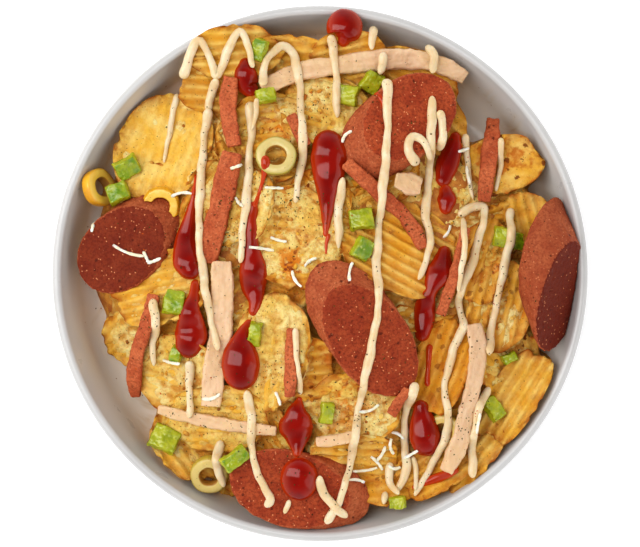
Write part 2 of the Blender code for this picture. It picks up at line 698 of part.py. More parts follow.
def make_drop(name, row, surface, collection):
    """A drop of thick sauce: domed sections along its spine, flat underneath where it lies."""
    spine = smooth_line([Vector((x * MM, y * MM, half * MM)) for (x, y), half in row], DROP_STEP)
    halves = [p.z for p in spine]
    spine = [p.xy.to_3d() for p in spine]
    heights = settle([surface.resting_height(p.x, p.y, half * 0.6) for p, half in zip(spine, halves)], 2)
    start = (spine[0] - spine[1]).normalized() * halves[0]
    end = (spine[-1] - spine[-2]).normalized() * halves[-1]
    for reach, share in DROP_ENDS:
        spine = [spine[0] + start * reach, *spine, spine[-1] + end * reach]
        halves = [start.length * share, *halves, end.length * share]
        heights = [heights[0], *heights, heights[-1]]
    last = len(spine) - 1
    sections = []
    for i, (at, half, height) in enumerate(zip(spine, halves, heights)):
        ahead = (spine[min(i + 1, last)] - spine[max(i - 1, 0)]).normalized()
        side = Vector((-ahead.y, ahead.x, 0)) * half
        base = Vector((at.x, at.y, height - DROP_SINK))
        rise = Vector((0, 0, DROP_SINK + half * DROP_DOME))
        sections.append([base + side * across + rise * up for across, up in DROP_SECTION])
    return add_object(name, mesh_of(name, loft(sections)), collection, "red_sauce")


def simplified(points):
    """The points of a line that its form needs, to within a tolerance."""
    start, end = points[0], points[-1]
    along = end - start
    misses = [((p - start) - along * ((p - start).dot(along) / along.length_squared)).length for p in points]
    worst = max(range(len(points)), key=lambda i: misses[i])
    if misses[worst] < SAUCE_TOLERANCE:
        return [start, end]
    return simplified(points[: worst + 1])[:-1] + simplified(points[worst:])


def make_line(name, points, surface, collection):
    """A line of thick pale sauce that hangs over what it crosses."""
    plan = smooth_line([point(p) for p in points], SAUCE_STEP)
    heights = settle([surface.high_spot(p.x, p.y, SAUCE_WIDTH / 3) for p in plan], SAUCE_EASE)
    line = simplified([Vector((p.x, p.y, height + SAUCE_LIFT)) for p, height in zip(plan, heights)])
    sections = []
    last = len(line) - 1
    for i, centre in enumerate(line):
        ahead = line[min(i + 1, last)] - line[max(i - 1, 0)]
        half = SAUCE_WIDTH / 2 * (SAUCE_TIP if i in (0, last) else 1)
        side = Vector((-ahead.y, ahead.x, 0)).normalized() * half
        rise = Vector((0, 0, half))
        sections.append([centre + side * across + rise * up for across, up in SAUCE_SECTION])
    return add_object(name, mesh_of(name, loft(sections)), collection, "pale_sauce")


def swollen(obj, collection):
    """A copy that stands proud of the piece by the gap all over, to cut its clearance with."""
    mesh = evaluated_mesh(obj)
    copy = bpy.data.objects.new(obj.name + "_clearance", mesh)
    copy.matrix_world = obj.matrix_world
    copy.hide_render = True
    collection.objects.link(copy)
    bm = bmesh.new()
    bm.from_mesh(mesh)
    bmesh.ops.remove_doubles(bm, verts=bm.verts, dist=0.01 * MM)
    bm.normal_update()
    for v, normal, share in [(v, v.normal.copy(), v.calc_shell_factor()) for v in bm.verts]:
        v.co += normal * GAP * min(share, SWELL_LIMIT)
    bm.to_mesh(mesh)
    bm.free()
    return copy


def boolean(obj, operation, collection, solver="EXACT"):
    """Joins or cuts an object by all of a collection, and applies it."""
    modifier = obj.modifiers.new(operation.lower(), "BOOLEAN")
    modifier.operation = operation
    modifier.operand_type = "COLLECTION"
    modifier.collection = collection
    modifier.solver = solver
    bpy.context.view_layer.update()
    apply_modifiers(obj)


def discard(collection):
    for obj in list(collection.objects):
        bpy.data.objects.remove(obj)
    bpy.data.collections.remove(collection)


def keep_largest(obj):
    """Drops every scrap that a cut has parted from the main piece."""
    bm = bmesh.new()
    bm.from_mesh(obj.data)
    unseen, pieces = set(bm.verts), []
    while unseen:
        todo, piece = [unseen.pop()], set()
        while todo:
            v = todo.pop()
            piece.add(v)
            for edge in v.link_edges:
                other = edge.other_vert(v)
                if other in unseen:
                    unseen.remove(other)
                    todo.append(other)
        pieces.append(piece)
    pieces.sort(key=len)
    for scrap in pieces[:-1]:
        bmesh.ops.delete(bm, geom=list(scrap), context="VERTS")
    bm.to_mesh(obj.data)
    bm.free()


def near(a, b):
    """Whether two pieces' boxes come within a gap of each other."""
    boxes = []
    for obj in (a, b):
        corners = [obj.matrix_world @ Vector(corner) for corner in obj.bound_box]
        boxes.append([(min(along) - GAP, max(along) + GAP) for along in zip(*corners)])
    return all(p[0] <= q[1] and q[0] <= p[1] for p, q in zip(*boxes))


def cut_clear(obj, clearances, cutters):
    """Cuts the piece back from the clearance of each earlier one that it meets."""
    met = [clearance for clearance in clearances.objects if near(obj, clearance)]
    if met:
        for clearance in met:
            cutters.objects.link(clearance)
        boolean(obj, "DIFFERENCE", cutters)
        keep_largest(obj)
        for clearance in met:
            cutters.objects.unlink(clearance)


def main():
    clear_scene()
    rng = random.Random(SEED)
    nachos = new_collection("nachos")
    to_join = new_collection("to_join")
    clearances = new_collection("clearances")
    cutters = new_collection("cutters")
    plate = make_plate(nachos)
    swollen(plate, clearances)
    heap = make_mound(nachos)
    heap.name = "chip_heap"
    chips = [make_chip(name, row, name in RIDGED_CHIPS, to_join, rng) for name, row in CHIPS.items()]
    surface = Surface()
    surface.add(heap, *chips)

    def lay(piece):
        bpy.context.view_layer.update()
        clearance = swollen(piece, clearances)
        clearances.objects.unlink(clearance)
        cut_clear(piece, clearances, cutters)
        clearances.objects.link(clearance)
        surface.add(piece)

    for name, row in SLICES.items():
        lay(make_slice("sausage_slice_" + name, row, nachos))
    for name, row in OLIVES.items():
        lay(make_olive("olive_" + name, row, surface, nachos))
    for name, row in SAUSAGE_STRIPS.items():
        lay(make_strip("sausage_strip_" + name, row, STRIP_THICKNESS, surface, nachos, "sausage", rng))
    for name, row in CHICKEN_STRIPS.items():
        lay(make_strip("chicken_strip_" + name, row, CHICKEN_THICKNESS, surface, nachos, "chicken", rng))
    for name, row in PEPPERS.items():
        lay(make_pepper("pepper_" + name, row, surface, nachos, rng))
    for name, row in RED_DROPS.items():
        lay(make_drop("red_sauce_" + name, row, surface, nachos))
    for piece in nachos.objects:
        if piece.name.startswith(("sausage_slice_", "olive_", "red_sauce_")):
            shade_round(piece)
    for name, points in PALE_LINES.items():
        surface.add(make_line(name, points, surface, to_join))
    boolean(heap, "UNION", to_join, "MANIFOLD")
    boolean(heap, "DIFFERENCE", clearances, "MANIFOLD")
    keep_largest(heap)
    for unused in (to_join, clearances, cutters):
        discard(unused)


main()
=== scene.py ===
"""Looks of a plate of loaded nachos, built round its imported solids.

Ridged chips, melted cheese and pale sauce take the place of the heap's solid. Every cut topping is a fine
copy of its solid, and the drops of red sauce and the rings of olive are shaped again where theirs lie.
"""

import math
import random

import bmesh
import bpy
import numpy as np
from mathutils import Matrix, Vector, noise
from mathutils.bvhtree import BVHTree


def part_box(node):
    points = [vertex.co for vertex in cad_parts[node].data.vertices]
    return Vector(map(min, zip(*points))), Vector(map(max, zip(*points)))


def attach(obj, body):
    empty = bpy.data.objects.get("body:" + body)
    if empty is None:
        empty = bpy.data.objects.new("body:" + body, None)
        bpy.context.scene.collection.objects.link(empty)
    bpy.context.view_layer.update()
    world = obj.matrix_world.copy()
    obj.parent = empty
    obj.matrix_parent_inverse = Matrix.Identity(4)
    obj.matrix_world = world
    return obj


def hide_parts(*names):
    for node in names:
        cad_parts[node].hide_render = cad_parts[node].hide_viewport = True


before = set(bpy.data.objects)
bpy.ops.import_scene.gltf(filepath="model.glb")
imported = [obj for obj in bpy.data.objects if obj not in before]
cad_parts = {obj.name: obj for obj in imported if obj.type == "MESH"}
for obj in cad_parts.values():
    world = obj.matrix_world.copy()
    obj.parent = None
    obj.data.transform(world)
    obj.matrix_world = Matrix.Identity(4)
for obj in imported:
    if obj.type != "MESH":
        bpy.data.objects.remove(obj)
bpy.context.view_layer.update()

MM = 0.001
SEED = 7
BODY = "root"
UP = Vector((0, 0, 1))

# The camera looks straight down on the middle of the plate.
CAMERA_HEIGHT = 0.90
CAMERA_LENS = 99.7
CAMERA_SENSOR = 36

# The plate, as its solid has it.
RIM_RADIUS = 129.9 * MM
RIM_HEIGHT = 42 * MM
WALL = 4.6 * MM
WALL_LEAN = math.radians(14)
FLOOR_RADIUS = 104 * MM
FLOOR_HEIGHT = 7 * MM
COVE_RADIUS = 16 * MM
FOOT_RADIUS = 84 * MM
FOOT_WIDTH = 6 * MM
FOOT_HEIGHT = 3 * MM
PLATE_STEPS = 256

# The mound under the chips.
MOUND_RISE = 35 * MM
MOUND_FULLNESS = 4.0
MOUND_SHOULDER = 0.6
MOUND_BUMP = 2.2 * MM
MOUND_LIP = 4 * MM
MOUND_EDGE = (
    107, 110, 109, 99, 107, 116, 117, 117, 117, 113, 114, 115,
    115, 109, 106, 107, 112, 115, 117, 113, 116, 114, 117, 112,
)
BED_SEGMENTS = 180
BED_RINGS = 60
BED_DROP = 2.5 * MM
RAY_HEIGHT = 200 * MM

# The chips.
CHIP_THICKNESS = 1.7 * MM
CHIP_OUTLINE = 2.5
CHIP_CUP = 2.4 * MM
CHIP_LIFT = 2 * MM
CHIP_FOLLOW = 0.6
CHIP_COLUMN = 0.75 * MM
CHIP_ROW = 1.5 * MM
CHIP_BLISTER = 0.35 * MM
CHIP_BLISTER_SIZE = 3.2 * MM
RIDGE_PITCH = 4.8 * MM
RIDGE_HEIGHT = 0.8 * MM
FILLER_COUNT = 60
FILLER_DROP = 2.5 * MM
FILLER_REACH = 7 * MM
FILLER_PROUD = 1 * MM

# Each chip: centre, half length and half width in mm. Bearing of its ridges, tilt and its bearing, with the
# height of its centre in mm for one by the wall: the heap's solid has the same. How toasted it is, how much
# melted cheese lies on it, how deep its ridges are and how spotted it is.
CHIPS = {
    "far_left_rim": ((-41, 107), (22, 13), (2, 8, 300, 43), (0.15, 0.0, 1.1, 0.0)),
    "far_left_edge": ((-49, 92), (20, 14), (-4, 10, 310, 38), (0.3, 0.0, 1.3, 0.0)),
    "far_middle": ((-15, 101), (22, 15), (-8, 10, 275, 37), (0.25, 0.1, 0.9, 0.1)),
    "far_top": ((14, 104), (18, 14), (12, 10, 262, 39), (0.3, 0.2, 1.0, 0.3)),
    "left_large": ((-76, 61), (26, 23), (74, 6, 330), (0.0, 0.3, 0.4, 0.0)),
    "far_centre": ((-22, 71), (21, 17), (8, 10, 80), (0.2, 0.5, 0.8, 0.4)),
    "far_right_edge": ((46, 95), (21, 14), (152, 10, 240, 34), (0.4, 0.0, 0.9, 0.0)),
    "right_of_top_slice": ((56, 74), (17, 14), (140, 10, 230, 35), (0.3, 0.25, 0.8, 0.2)),
    "right_spotted": ((88, 53), (20, 14), (12, 8, 210, 33), (0.2, 0.15, 0.4, 1.0)),
    "ridged_centre": ((38, 12), (27, 22), (-28, 14, 60), (0.3, 0.0, 1.3, 0.2)),
    "cheese_centre": ((-11, 17), (25, 24), (-6, 6, 90), (0.3, 0.8, 0.8, 0.5)),
    "left_middle": ((-78, -7), (24, 18), (12, 14, 110), (0.1, 0.5, 1.0, 0.3)),
    "left_low": ((-92, -31), (18, 14), (30, 14, 200), (0.1, 0.8, 0.7, 0.2)),
    "near_left": ((-68, -49), (22, 20), (-12, 12, 220), (0.1, 0.8, 0.6, 0.1)),
    "centre_low": ((-23, -37), (27, 18), (84, 8, 180), (0.1, 0.85, 0.6, 0.2)),
    "small_ridged": ((-5, -46), (12, 15), (2, 8, 260), (0.4, 0.1, 1.3, 0.9)),
    "near_left_inner": ((-50, -70), (25, 17), (6, 10, 250), (0.1, 0.75, 0.7, 0.1)),
    "near_centre": ((17, -64), (22, 18), (14, 8, 270), (0.2, 0.85, 0.7, 0.3)),
    "near_edge_centre": ((16, -90), (23, 15), (-8, 14, 280), (0.3, 0.4, 1.0, 0.4)),
    "near_edge_right": ((33, -99), (17, 14), (8, 8, 110, 35), (0.5, 0.1, 0.8, 0.7)),
    "near_edge_left": ((-66, -84), (20, 14), (128, 10, 52, 29), (0.1, 0.55, 0.9, 0.2)),
    "right_orange": ((59, -45), (24, 14), (68, 16, 150), (0.8, 0.2, 0.8, 0.6)),
    "right_golden": ((87, -16), (22, 16), (76, 8, 200), (0.45, 0.5, 0.8, 0.6)),
    "right_near": ((90, -42), (19, 17), (-38, 10, 330), (0.25, 0.6, 0.5, 1.0)),
    "right_edge_ridged": ((95, -60), (25, 12), (58, 18, 148, 38), (0.1, 0.05, 1.1, 0.2)),
    "near_right_low": ((71, -86), (22, 14), (50, 12, 135, 35), (0.2, 0.15, 0.9, 0.4)),
    "under_tangle": ((78, 6), (20, 15), (66, 12, 20), (0.6, 0.45, 0.8, 0.7)),
    "right_far_edge": ((102, 25), (15, 12), (104, 10, 194, 33), (0.3, 0.1, 0.9, 0.3)),
    "herb_centre_left": ((-40, 33), (20, 18), (80, 8, 160), (0.1, 0.85, 0.7, 0.2)),
    "herb_far": ((2, 78), (21, 18), (-14, 10, 80), (0.15, 0.8, 0.8, 0.3)),
    "near_right_edge": ((56, -95), (19, 12), (32, 12, 121, 36), (0.4, 0.25, 0.8, 0.5)),
}

# The melted cheese.
CHEESE_STEP = 0.66 * MM
CHEESE_REACH = 122 * MM
CHEESE_THIN = -2.2 * MM
CHEESE_THICK = 1.5 * MM
CHEESE_MARGIN = 0.5 * MM
CHEESE_LUMP = 5.5 * MM
CHEESE_CRUMB = 2.4 * MM
CHEESE_RELIEF = 1.3 * MM
# Where the cheese is browned: centre and radius in mm.
CHEESE_BROWNED = (
    ((-14, 4), 26), ((60, -45), 22), ((80, 0), 26), ((-20, 70), 14), ((12, -60), 22), ((30, -92), 16),
)

# Oblique sausage slices: tilt of the cut face, its bearing and how much painted shade darkens its meat.
SLICES = {
    "left": (10, 200, 0.75),
    "top": (12, 30, 0.1),
    "middle": (8, 305, 0.3),
    "right": (52, 344, 1.0),
    "bottom": (6, 270, 0.2),
}

# Olive rings: centre in mm, tilt, its bearing and how green the ring is.
OLIVE_RADIUS = 9 * MM
OLIVE_HOLE = 4.6 * MM
OLIVE_HEIGHT = 5.5 * MM
OLIVE_STEPS = 72
OLIVES = {
    "left": ((-108, 42), 52, 10, 0.0),
    "far": ((-21, 56), 8, 90, 1.0),
    "near": ((-54, -98), 24, 260, 0.8),
    "near_right": ((60, -77), 20, 200, 0.6),
}

# Drops of red sauce: points of the drop's spine in mm, each with the half width there.
RED_DROPS = {
    "far": ((12, 119, 9.2), (12.5, 116, 7.8), (11.5, 113, 3.2)),
    "far_left": ((-36, 101, 3.4), (-36, 97, 5.6), (-35, 91, 5.6), (-34.5, 90, 4.6)),
    "large_tear": (
        (4, 61, 8), (4.5, 55, 9.3), (4, 45, 7.2), (3.6, 36, 4.5), (3.2, 27, 2.7), (2.7, 19, 1.3),
    ),
    "centre_left_tear": (
        (-32, 32, 2.5), (-33, 22, 3.2), (-33, 13, 4), (-32, 2, 6.8), (-32, -6, 6.4),
        (-31, -13, 3.8), (-32, -18, 2.4),
    ),
    "centre_left_drop": (
        (-34.5, -24, 2), (-37, -29.5, 4), (-38, -37, 8.2), (-38, -44, 9.6), (-38, -47, 9),
    ),
    "left_tear": ((-61, 38, 1.4), (-63, 27, 3), (-65, 16, 5.4), (-64, 6, 7.2), (-63, 3, 6)),
    "left_drop": (
        (-60, -5, 2.2), (-60.5, -11, 3), (-62, -17, 4.8), (-62, -24, 7), (-62, -30, 8.3),
        (-63, -34, 6.8),
    ),
    "right_upper": ((66, 66, 3), (65, 61, 4.4), (62, 53, 5.8), (60, 46, 4)),
    "right_small": ((61, 40, 3.2), (61.5, 36, 5), (61, 32, 3.4)),
    "right_long": (
        (60, 10, 3.4), (59, 5, 5.4), (58, 1, 7), (55, -4, 5.2), (53, -9, 3.2), (51, -14.5, 5),
        (50.5, -22, 5.2), (49.5, -29, 3.8),
    ),
    "near_right": ((49, -65, 3.8), (50, -72, 6.6), (51, -79, 7.8), (51.5, -81.5, 7.4)),
    "near_tear": (
        (-10, -61, 1.6), (-11, -66, 5), (-11, -70, 7.4), (-11.5, -74, 8.8), (-11, -78, 7.4),
        (-11, -82.5, 4.4), (-11, -86, 2.4),
    ),
    "near_round": ((-10, -98, 9.4), (-10, -100, 9.4)),
}

# Thin streaks of the same sauce.
RED_STREAKS = (
    ((-26, 54, 2.2), (-26, 51, 2.4), (-27, 46, 1.1), (-29, 39, 0.9), (-31, 33, 1.2)),
    ((53, -36, 1.8), (52.5, -43, 1.3), (52, -49, 1.2), (52, -53, 1.6)),
    ((-60, 47, 0.9), (-60, 43, 1.2), (-61, 39, 1.3)),
    ((4, 18, 1.2), (3, 14, 0.8), (3, 10, 0.6)),
    ((66, -95, 1.6), (58, -99, 2.4), (50, -102, 1.8), (46, -104, 1.2)),
    ((27, 86, 1.2), (30, 82, 1.5), (31, 78, 1.0)),
)
CURVE_STEPS = 16
DROP_STEP = 1.1 * MM
DROP_SIDES = 24
DROP_DOME = 0.58
DROP_FLATNESS = 0.8
DROP_SINK = 1.2 * MM
DROP_END_STEPS = 7

# Lines of the pale sauce: points in mm.
PALE_LINES = {
    "zigzag": (
        (-66, 94), (-63, 105), (-58, 112), (-53, 104), (-50, 95), (-45, 106), (-39, 117), (-35, 110),
        (-32, 99),
    ),
    "zigzag_tail": ((-50, 94), (-53, 86), (-54, 78)),
    "far_loop": (
        (-28, 90), (-26, 102), (-19, 110), (-13, 106), (-10, 92), (-9, 75), (-8, 60), (-10, 47),
        (-12, 34),
    ),
    "left_short": ((-70, 88), (-73, 72), (-76, 54)),
    "left_long": ((-54, 80), (-56, 67), (-57, 52), (-58, 35), (-58, 16), (-56, 0), (-54, -14), (-49, -37)),
    "centre_left": ((-34, 83), (-33, 70), (-34, 55), (-35, 38), (-37, 20), (-38, 5)),
    "far_centre": ((5, 115), (7, 104), (8, 90), (8, 75)),
    "far_stub_a": ((26, 120), (25, 108)),
    "far_stub_b": ((31, 107), (29, 96)),
    "longest": (
        (32, 93), (32, 67), (30, 40), (28, 18), (27, 2), (28, -12), (25, -32), (21, -52), (18, -69),
        (15, -90), (10, -108), (3, -121),
    ),
    "right_main": ((54, 85), (53, 67), (53, 48), (51, 30), (53, 16), (51, 6), (47, -3)),
    "right_curl": ((47, 52), (42, 58), (44, 65), (50, 62), (53, 54)),
    "right_loop": ((57, 78), (59, 67), (57, 59)),
    "far_right_end": ((52, 111), (55, 105), (54, 96)),
    "right_thin": ((71, 68), (72, 56), (74, 36)),
    "right_edge_thin": ((88, 66), (88, 52), (86, 40)),
    "tangle": (
        (67, 28), (74, 32), (80, 32), (77, 18), (73, 4), (67, -11), (69, -24), (64, -38), (60, -56),
        (62, -72), (58, -86), (46, -108),
    ),
    "tangle_left": ((69, 27), (69, 12), (66, -9)),
    "far_right_line": ((93, 32), (92, 16), (88, -2), (84, -22), (81, -39)),
    "near_right_line": ((82, -55), (76, -67), (74, -82), (74, -99)),
    "near_line": ((46, -52), (42, -65), (41, -79), (42, -94), (38, -106)),
    "near_stub": ((34, -92), (34, -101), (38, -107)),
    "left_stub": ((-80, -12), (-79, -25), (-81, -35), (-81, -45)),
    "near_left_stub": ((-63, -42), (-63, -56), (-63, -70)),
    "near_left_line": ((-35, -56), (-33, -71), (-33, -84), (-31, -93), (-27, -103), (-24, -109), (-26, -113)),
    "centre_low_line": ((-12, -26), (-11, -40), (-9, -58)),
    "near_hook": ((0, -97), (1, -105), (6, -111), (13, -118)),
    "centre_right_stub": ((11, 46), (9, 31), (9, 12)),
    "over_near_olive": ((-48, -81), (-50, -90), (-47, -104)),
    "near_dash": ((-15, -109), (-17, -116)),
    "centre_left_fork": ((-30, 84), (-31, 76), (-33, 69)),
    "near_line_thin": ((45, -89), (47, -98), (46, -105)),
    "near_end": ((32, -106), (31, -112)),
}
POINTED_LINES = (
    "left_short", "right_main", "far_centre", "centre_right_stub", "right_thin", "left_stub", "tangle",
    "centre_left_fork",
)
THIN_LINES = (
    "left_short", "right_thin", "right_edge_thin", "tangle_left", "near_dash", "centre_low_line",
    "centre_left_fork", "near_line_thin",
)
SAUCE_WIDTH = 4.2 * MM
SAUCE_THIN_SHARE = 0.68
SAUCE_STEP = 1.1 * MM
SAUCE_SIDES = 16
SAUCE_EASE = 8
SAUCE_SWAY = 0.22 * MM
SAUCE_HEAD = 5 * MM
SAUCE_FLATNESS = 0.78
END_SHARES = (0, 0.06, 0.2, 0.45, 0.75)
# Length over which a line closes, as a share of its half width.
ROUND_END = 1.6
POINTED_END = 4

# Shreds of white cheese: middle in mm, bearing and length in mm.
SHREDS = (
    ((-22, 41), 178, 9), ((-93, 10), 160, 16), ((-40, 51), 20, 6), ((-39, 34), 130, 6), ((-67, 39), 8, 10),
    ((-12, -3), 120, 9), ((-28, 12), 172, 12), ((24, -66), 20, 10), ((30, -88), 60, 9), ((22, -96), 5, 12),
    ((34, -84), 100, 8), ((-72, -43), 170, 9), ((14, 1), 80, 9), ((-20, 16), 165, 8), ((38, -78), 150, 7),
    ((-110, 24), 80, 8), ((-80, 6), 200, 7), ((-84, 8), 115, 6), ((28, -92), 130, 9), ((18, -100), 165, 8),
    ((44, -88), 30, 8), ((36, -95), 170, 6), ((-5, 6), 35, 7), ((72, 48), 100, 9), ((62, 20), 60, 7),
    ((-52, -60), 15, 9), ((-20, -60), 110, 7), ((76, -72), 80, 10), ((70, 60), 20, 6), ((12, 66), 50, 7),
)
SHRED_HALF = 0.8 * MM
SHRED_STEPS = 9
SHRED_SIDES = 8

# Flecks of herb and chilli. Half of them lie in clusters: centre and reach in mm.
FLECK_COUNT = 1100
FLECK_SIZE = (0.35 * MM, 0.95 * MM)
CLUSTERS = (
    ((-64, 53), 9), ((-27, 43), 8), ((-16, 32), 8), ((-41, 18), 9), ((-6, 79), 12), ((-52, 62), 10),
    ((-20, -52), 14), ((-60, -60), 16), ((-30, -74), 14), ((20, -70), 14), ((60, -30), 14), ((84, -8), 14),
    ((0, 30), 12), ((44, 24), 10), ((74, 44), 12), ((-84, -20), 12), ((72, -70), 14), ((10, -92), 14),
    ((-46, 36), 8), ((90, -40), 12),
)
CHILLI_COUNT = FLECK_COUNT // 6
FLECK_SIDES = 6

# Crumbs of chip and crust.
CRUMB_COUNT = 260
CRUMB_SIZE = (0.9 * MM, 2.6 * MM)
# The chips, the deeper chips, the core and the cheese are the first four surfaces laid.
CHIP_TREE = 0
CHEESE_TREE = 3

# The area lights: place, size and power.
LIGHTS = {
    "softbox": ((-0.62, 0.12, 1.15), (0.75, 1.5), 12),
    "fill": ((0.9, -0.5, 0.9), (0.9, 0.9), 2.5),
}
LIGHT_TARGET = (0, 0, 0.03)
FLOOR_HALF = 3

# Brightness of the sky near the horizon and overhead, and the heights, as sines, between which it fades.
SKY_LOW = 1.05
SKY_OVERHEAD = 0.2
SKY_FADE_START = 0.3
SKY_FADE_END = 0.85


def srgb(red, green, blue):
    """Linear colour of 8-bit display values."""
    return tuple(((c / 255 + 0.055) / 1.055) ** 2.4 for c in (red, green, blue))


class Paint:
    """A Principled material built node by node, in the object's own coordinates."""

    def __init__(self, name, specular=0.5, coat=(0, 0.03), softness=(0, 0.002), glow=0):
        """Coat is a weight and a roughness, softness the weight and radius of light that sinks in."""
        self.material = bpy.data.materials.new(name)
        self.material.use_nodes = True
        self.tree = self.material.node_tree
        self.shader = self.tree.nodes["Principled BSDF"].inputs
        self.place = self.node("ShaderNodeTexCoord").outputs["Object"]
        self.shader["Specular IOR Level"].default_value = specular
        self.shader["Coat Weight"].default_value, self.shader["Coat Roughness"].default_value = coat
        weight, scale = self.shader["Subsurface Weight"], self.shader["Subsurface Scale"]
        weight.default_value, scale.default_value = softness
        self.shader["Subsurface Radius"].default_value = (1.0, 0.6, 0.35)
        self.shader["Emission Color"].default_value = (1, 1, 1, 1)
        self.shader["Emission Strength"].default_value = glow

    def feed(self, socket, value):
        """Links an output, or sets a constant."""
        if isinstance(value, bpy.types.NodeSocket):
            self.tree.links.new(value, socket)
        elif isinstance(value, tuple) and socket.type == "RGBA":
            socket.default_value = (*value, 1)
        else:
            socket.default_value = value

    def node(self, kind, inputs=None, **settings):
        made = self.tree.nodes.new(kind)
        for key, value in settings.items():
            setattr(made, key, value)
        for key, value in (inputs or {}).items():
            self.feed(made.inputs[key], value)
        return made

    def attribute(self, name, output="Fac"):
        return self.node("ShaderNodeAttribute", attribute_name=name).outputs[output]

    def math(self, operation, a, b):
        return self.node("ShaderNodeMath", {0: a, 1: b}, operation=operation).outputs["Value"]

    def times(self, a, b):
        return self.math("MULTIPLY", a, b)

    def mix(self, share, a, b):
        inputs = {"Factor": share, "A": a, "B": b}
        return self.node("ShaderNodeMix", inputs, data_type="RGBA").outputs["Result"]

    def ramp(self, value, low, high):
        """0 below low and 1 above high, or the other way round where low is the larger."""
        inputs = {"Value": value, "From Min": low, "From Max": high}
        return self.node("ShaderNodeMapRange", inputs, interpolation_type="SMOOTHSTEP").outputs["Result"]

    def noise(self, scale, detail=3.0, rough=0.55, vector=None, warp=0.0):
        inputs = {"Vector": vector or self.place, "Scale": scale, "Detail": detail}
        inputs |= {"Roughness": rough, "Distortion": warp}
        return self.node("ShaderNodeTexNoise", inputs).outputs["Fac"]

    def clouds(self, scale, low=0.35, high=0.65, detail=3.0, rough=0.55, warp=0.0):
        """0 or 1 in soft-edged patches."""
        return self.ramp(self.noise(scale, detail, rough, warp=warp), low, high)

    def blots(self, scale, size, raggedness=0.5):
        """1 inside ragged spots round scattered points and 0 between them."""
        cells = self.node("ShaderNodeTexVoronoi", {"Vector": self.place, "Scale": scale})
        ragged = self.times(self.noise(scale * 4, 3, 0.6), raggedness)
        distance = self.math("ADD", cells.outputs["Distance"], ragged)
        return self.ramp(distance, size + raggedness / 2, size * 0.7 + raggedness / 2)

    def base(self, share, a, b):
        self.colour = self.mix(share, a, b)

    def cover(self, mask, colour, most=1):
        """Lays a colour over the base, where the mask is and as far as the most of it."""
        self.colour = self.mix(self.times(mask, most), self.colour, colour)

    def done(self, roughness, *bumps):
        """Feeds the shader. Each bump is a height and its depth in metres."""
        self.feed(self.shader["Base Color"], self.colour)
        self.feed(self.shader["Roughness"], roughness)
        normal = None
        for height, depth in bumps:
            made = self.node("ShaderNodeBump", {"Distance": depth, "Height": height})
            if normal is not None:
                self.feed(made.inputs["Normal"], normal)
            normal = made.outputs["Normal"]
        if normal is not None:
            self.feed(self.shader["Normal"], normal)
        return self.material


def plate_material():
    paint = Paint("glaze", coat=(0.3, 0.08))
    inner = paint.attribute("inner")
    # The glaze is one white all over: the outside is painted a darker grey as painted shade, and the inside
    # lighter as painted light.
    paint.base(paint.clouds(18, 0.45, 0.7), (0.56, 0.55, 0.54), (0.52, 0.51, 0.50))
    paint.cover(inner, (0.84, 0.81, 0.755))
    # Brownish patches inside: partly stain from the food, partly painted warm reflection and shade from the
    # heap.
    paint.cover(paint.clouds(34, 0.56, 0.72, 4, 0.6, 1.2), (0.66, 0.57, 0.43), inner)
    paint.cover(paint.times(paint.blots(120, 0.06, 0.1), inner), srgb(150, 104, 60), 0.7)
    return paint.done(paint.clouds(60, -1.6, 4.0, 4), (paint.noise(45, 2), 0.00006))


def chip_material():
    paint = Paint("chip", 0.14, softness=(0.12, 0.0015))
    spots = paint.attribute("spots")
    paint.base(paint.clouds(90, detail=4, rough=0.6), srgb(243, 210, 122), srgb(238, 188, 76))
    paint.cover(paint.attribute("tone"), srgb(214, 136, 30), 0.7)
    # Painted shade in the troughs between the ridges.
    paint.cover(paint.attribute("valley"), srgb(214, 140, 14), 0.65)
    paint.cover(paint.clouds(300, 0.5, 0.7, 4, 0.65), srgb(226, 158, 52), 0.4)
    paint.cover(paint.clouds(170, 0.36, 0.62), srgb(170, 90, 24), paint.attribute("edge"))
    paint.cover(paint.times(spots, paint.clouds(120, 0.48, 0.64, 4, 0.6)), srgb(194, 104, 26), 0.85)
    paint.cover(paint.times(spots, paint.blots(150, 0.24)), srgb(128, 62, 18), 0.9)
    paint.cover(paint.blots(430, 0.12, 0.15), srgb(98, 66, 24), 0.75)
    bumps = (paint.noise(420, 4, 0.7), 0.0011), (paint.noise(1500), 0.0003)
    return paint.done(paint.clouds(300, -0.6, 1.4), *bumps)


def cheese_material():
    paint = Paint("melted_cheese", 0.25, (0.08, 0.25), (0.2, 0.002))
    paint.base(paint.clouds(60), srgb(245, 225, 154), srgb(238, 200, 102))
    paint.cover(paint.clouds(360, 0.45, 0.64, 4, 0.7), srgb(220, 166, 66), 0.6)
    # Painted shade in the dips of the cheese's relief.
    paint.cover(paint.attribute("hollow"), srgb(206, 142, 46), 0.85)
    browned = paint.times(paint.clouds(130, 0.46, 0.6, 4, 0.65), paint.attribute("brown"))
    paint.cover(browned, srgb(222, 134, 26))
    paint.cover(paint.clouds(330, 0.52, 0.64), srgb(152, 70, 18), browned)
    paint.cover(paint.blots(420, 0.12, 0.15), srgb(96, 82, 40), 0.8)
    bumps = (paint.noise(330, 4, 0.7), 0.0018), (paint.noise(1100), 0.0005)
    return paint.done(paint.clouds(120, -0.3, 1.6), *bumps)


def bed_material():
    paint = Paint("deep_chips_painted_shade", softness=(0.1, 0.0015))
    # Darker and browner than the chips on top: painted shade deep in the heap.
    paint.base(paint.clouds(160, detail=4), srgb(218, 152, 58), srgb(172, 100, 34))
    return paint.done(0.6, (paint.noise(300, 4), 0.002))


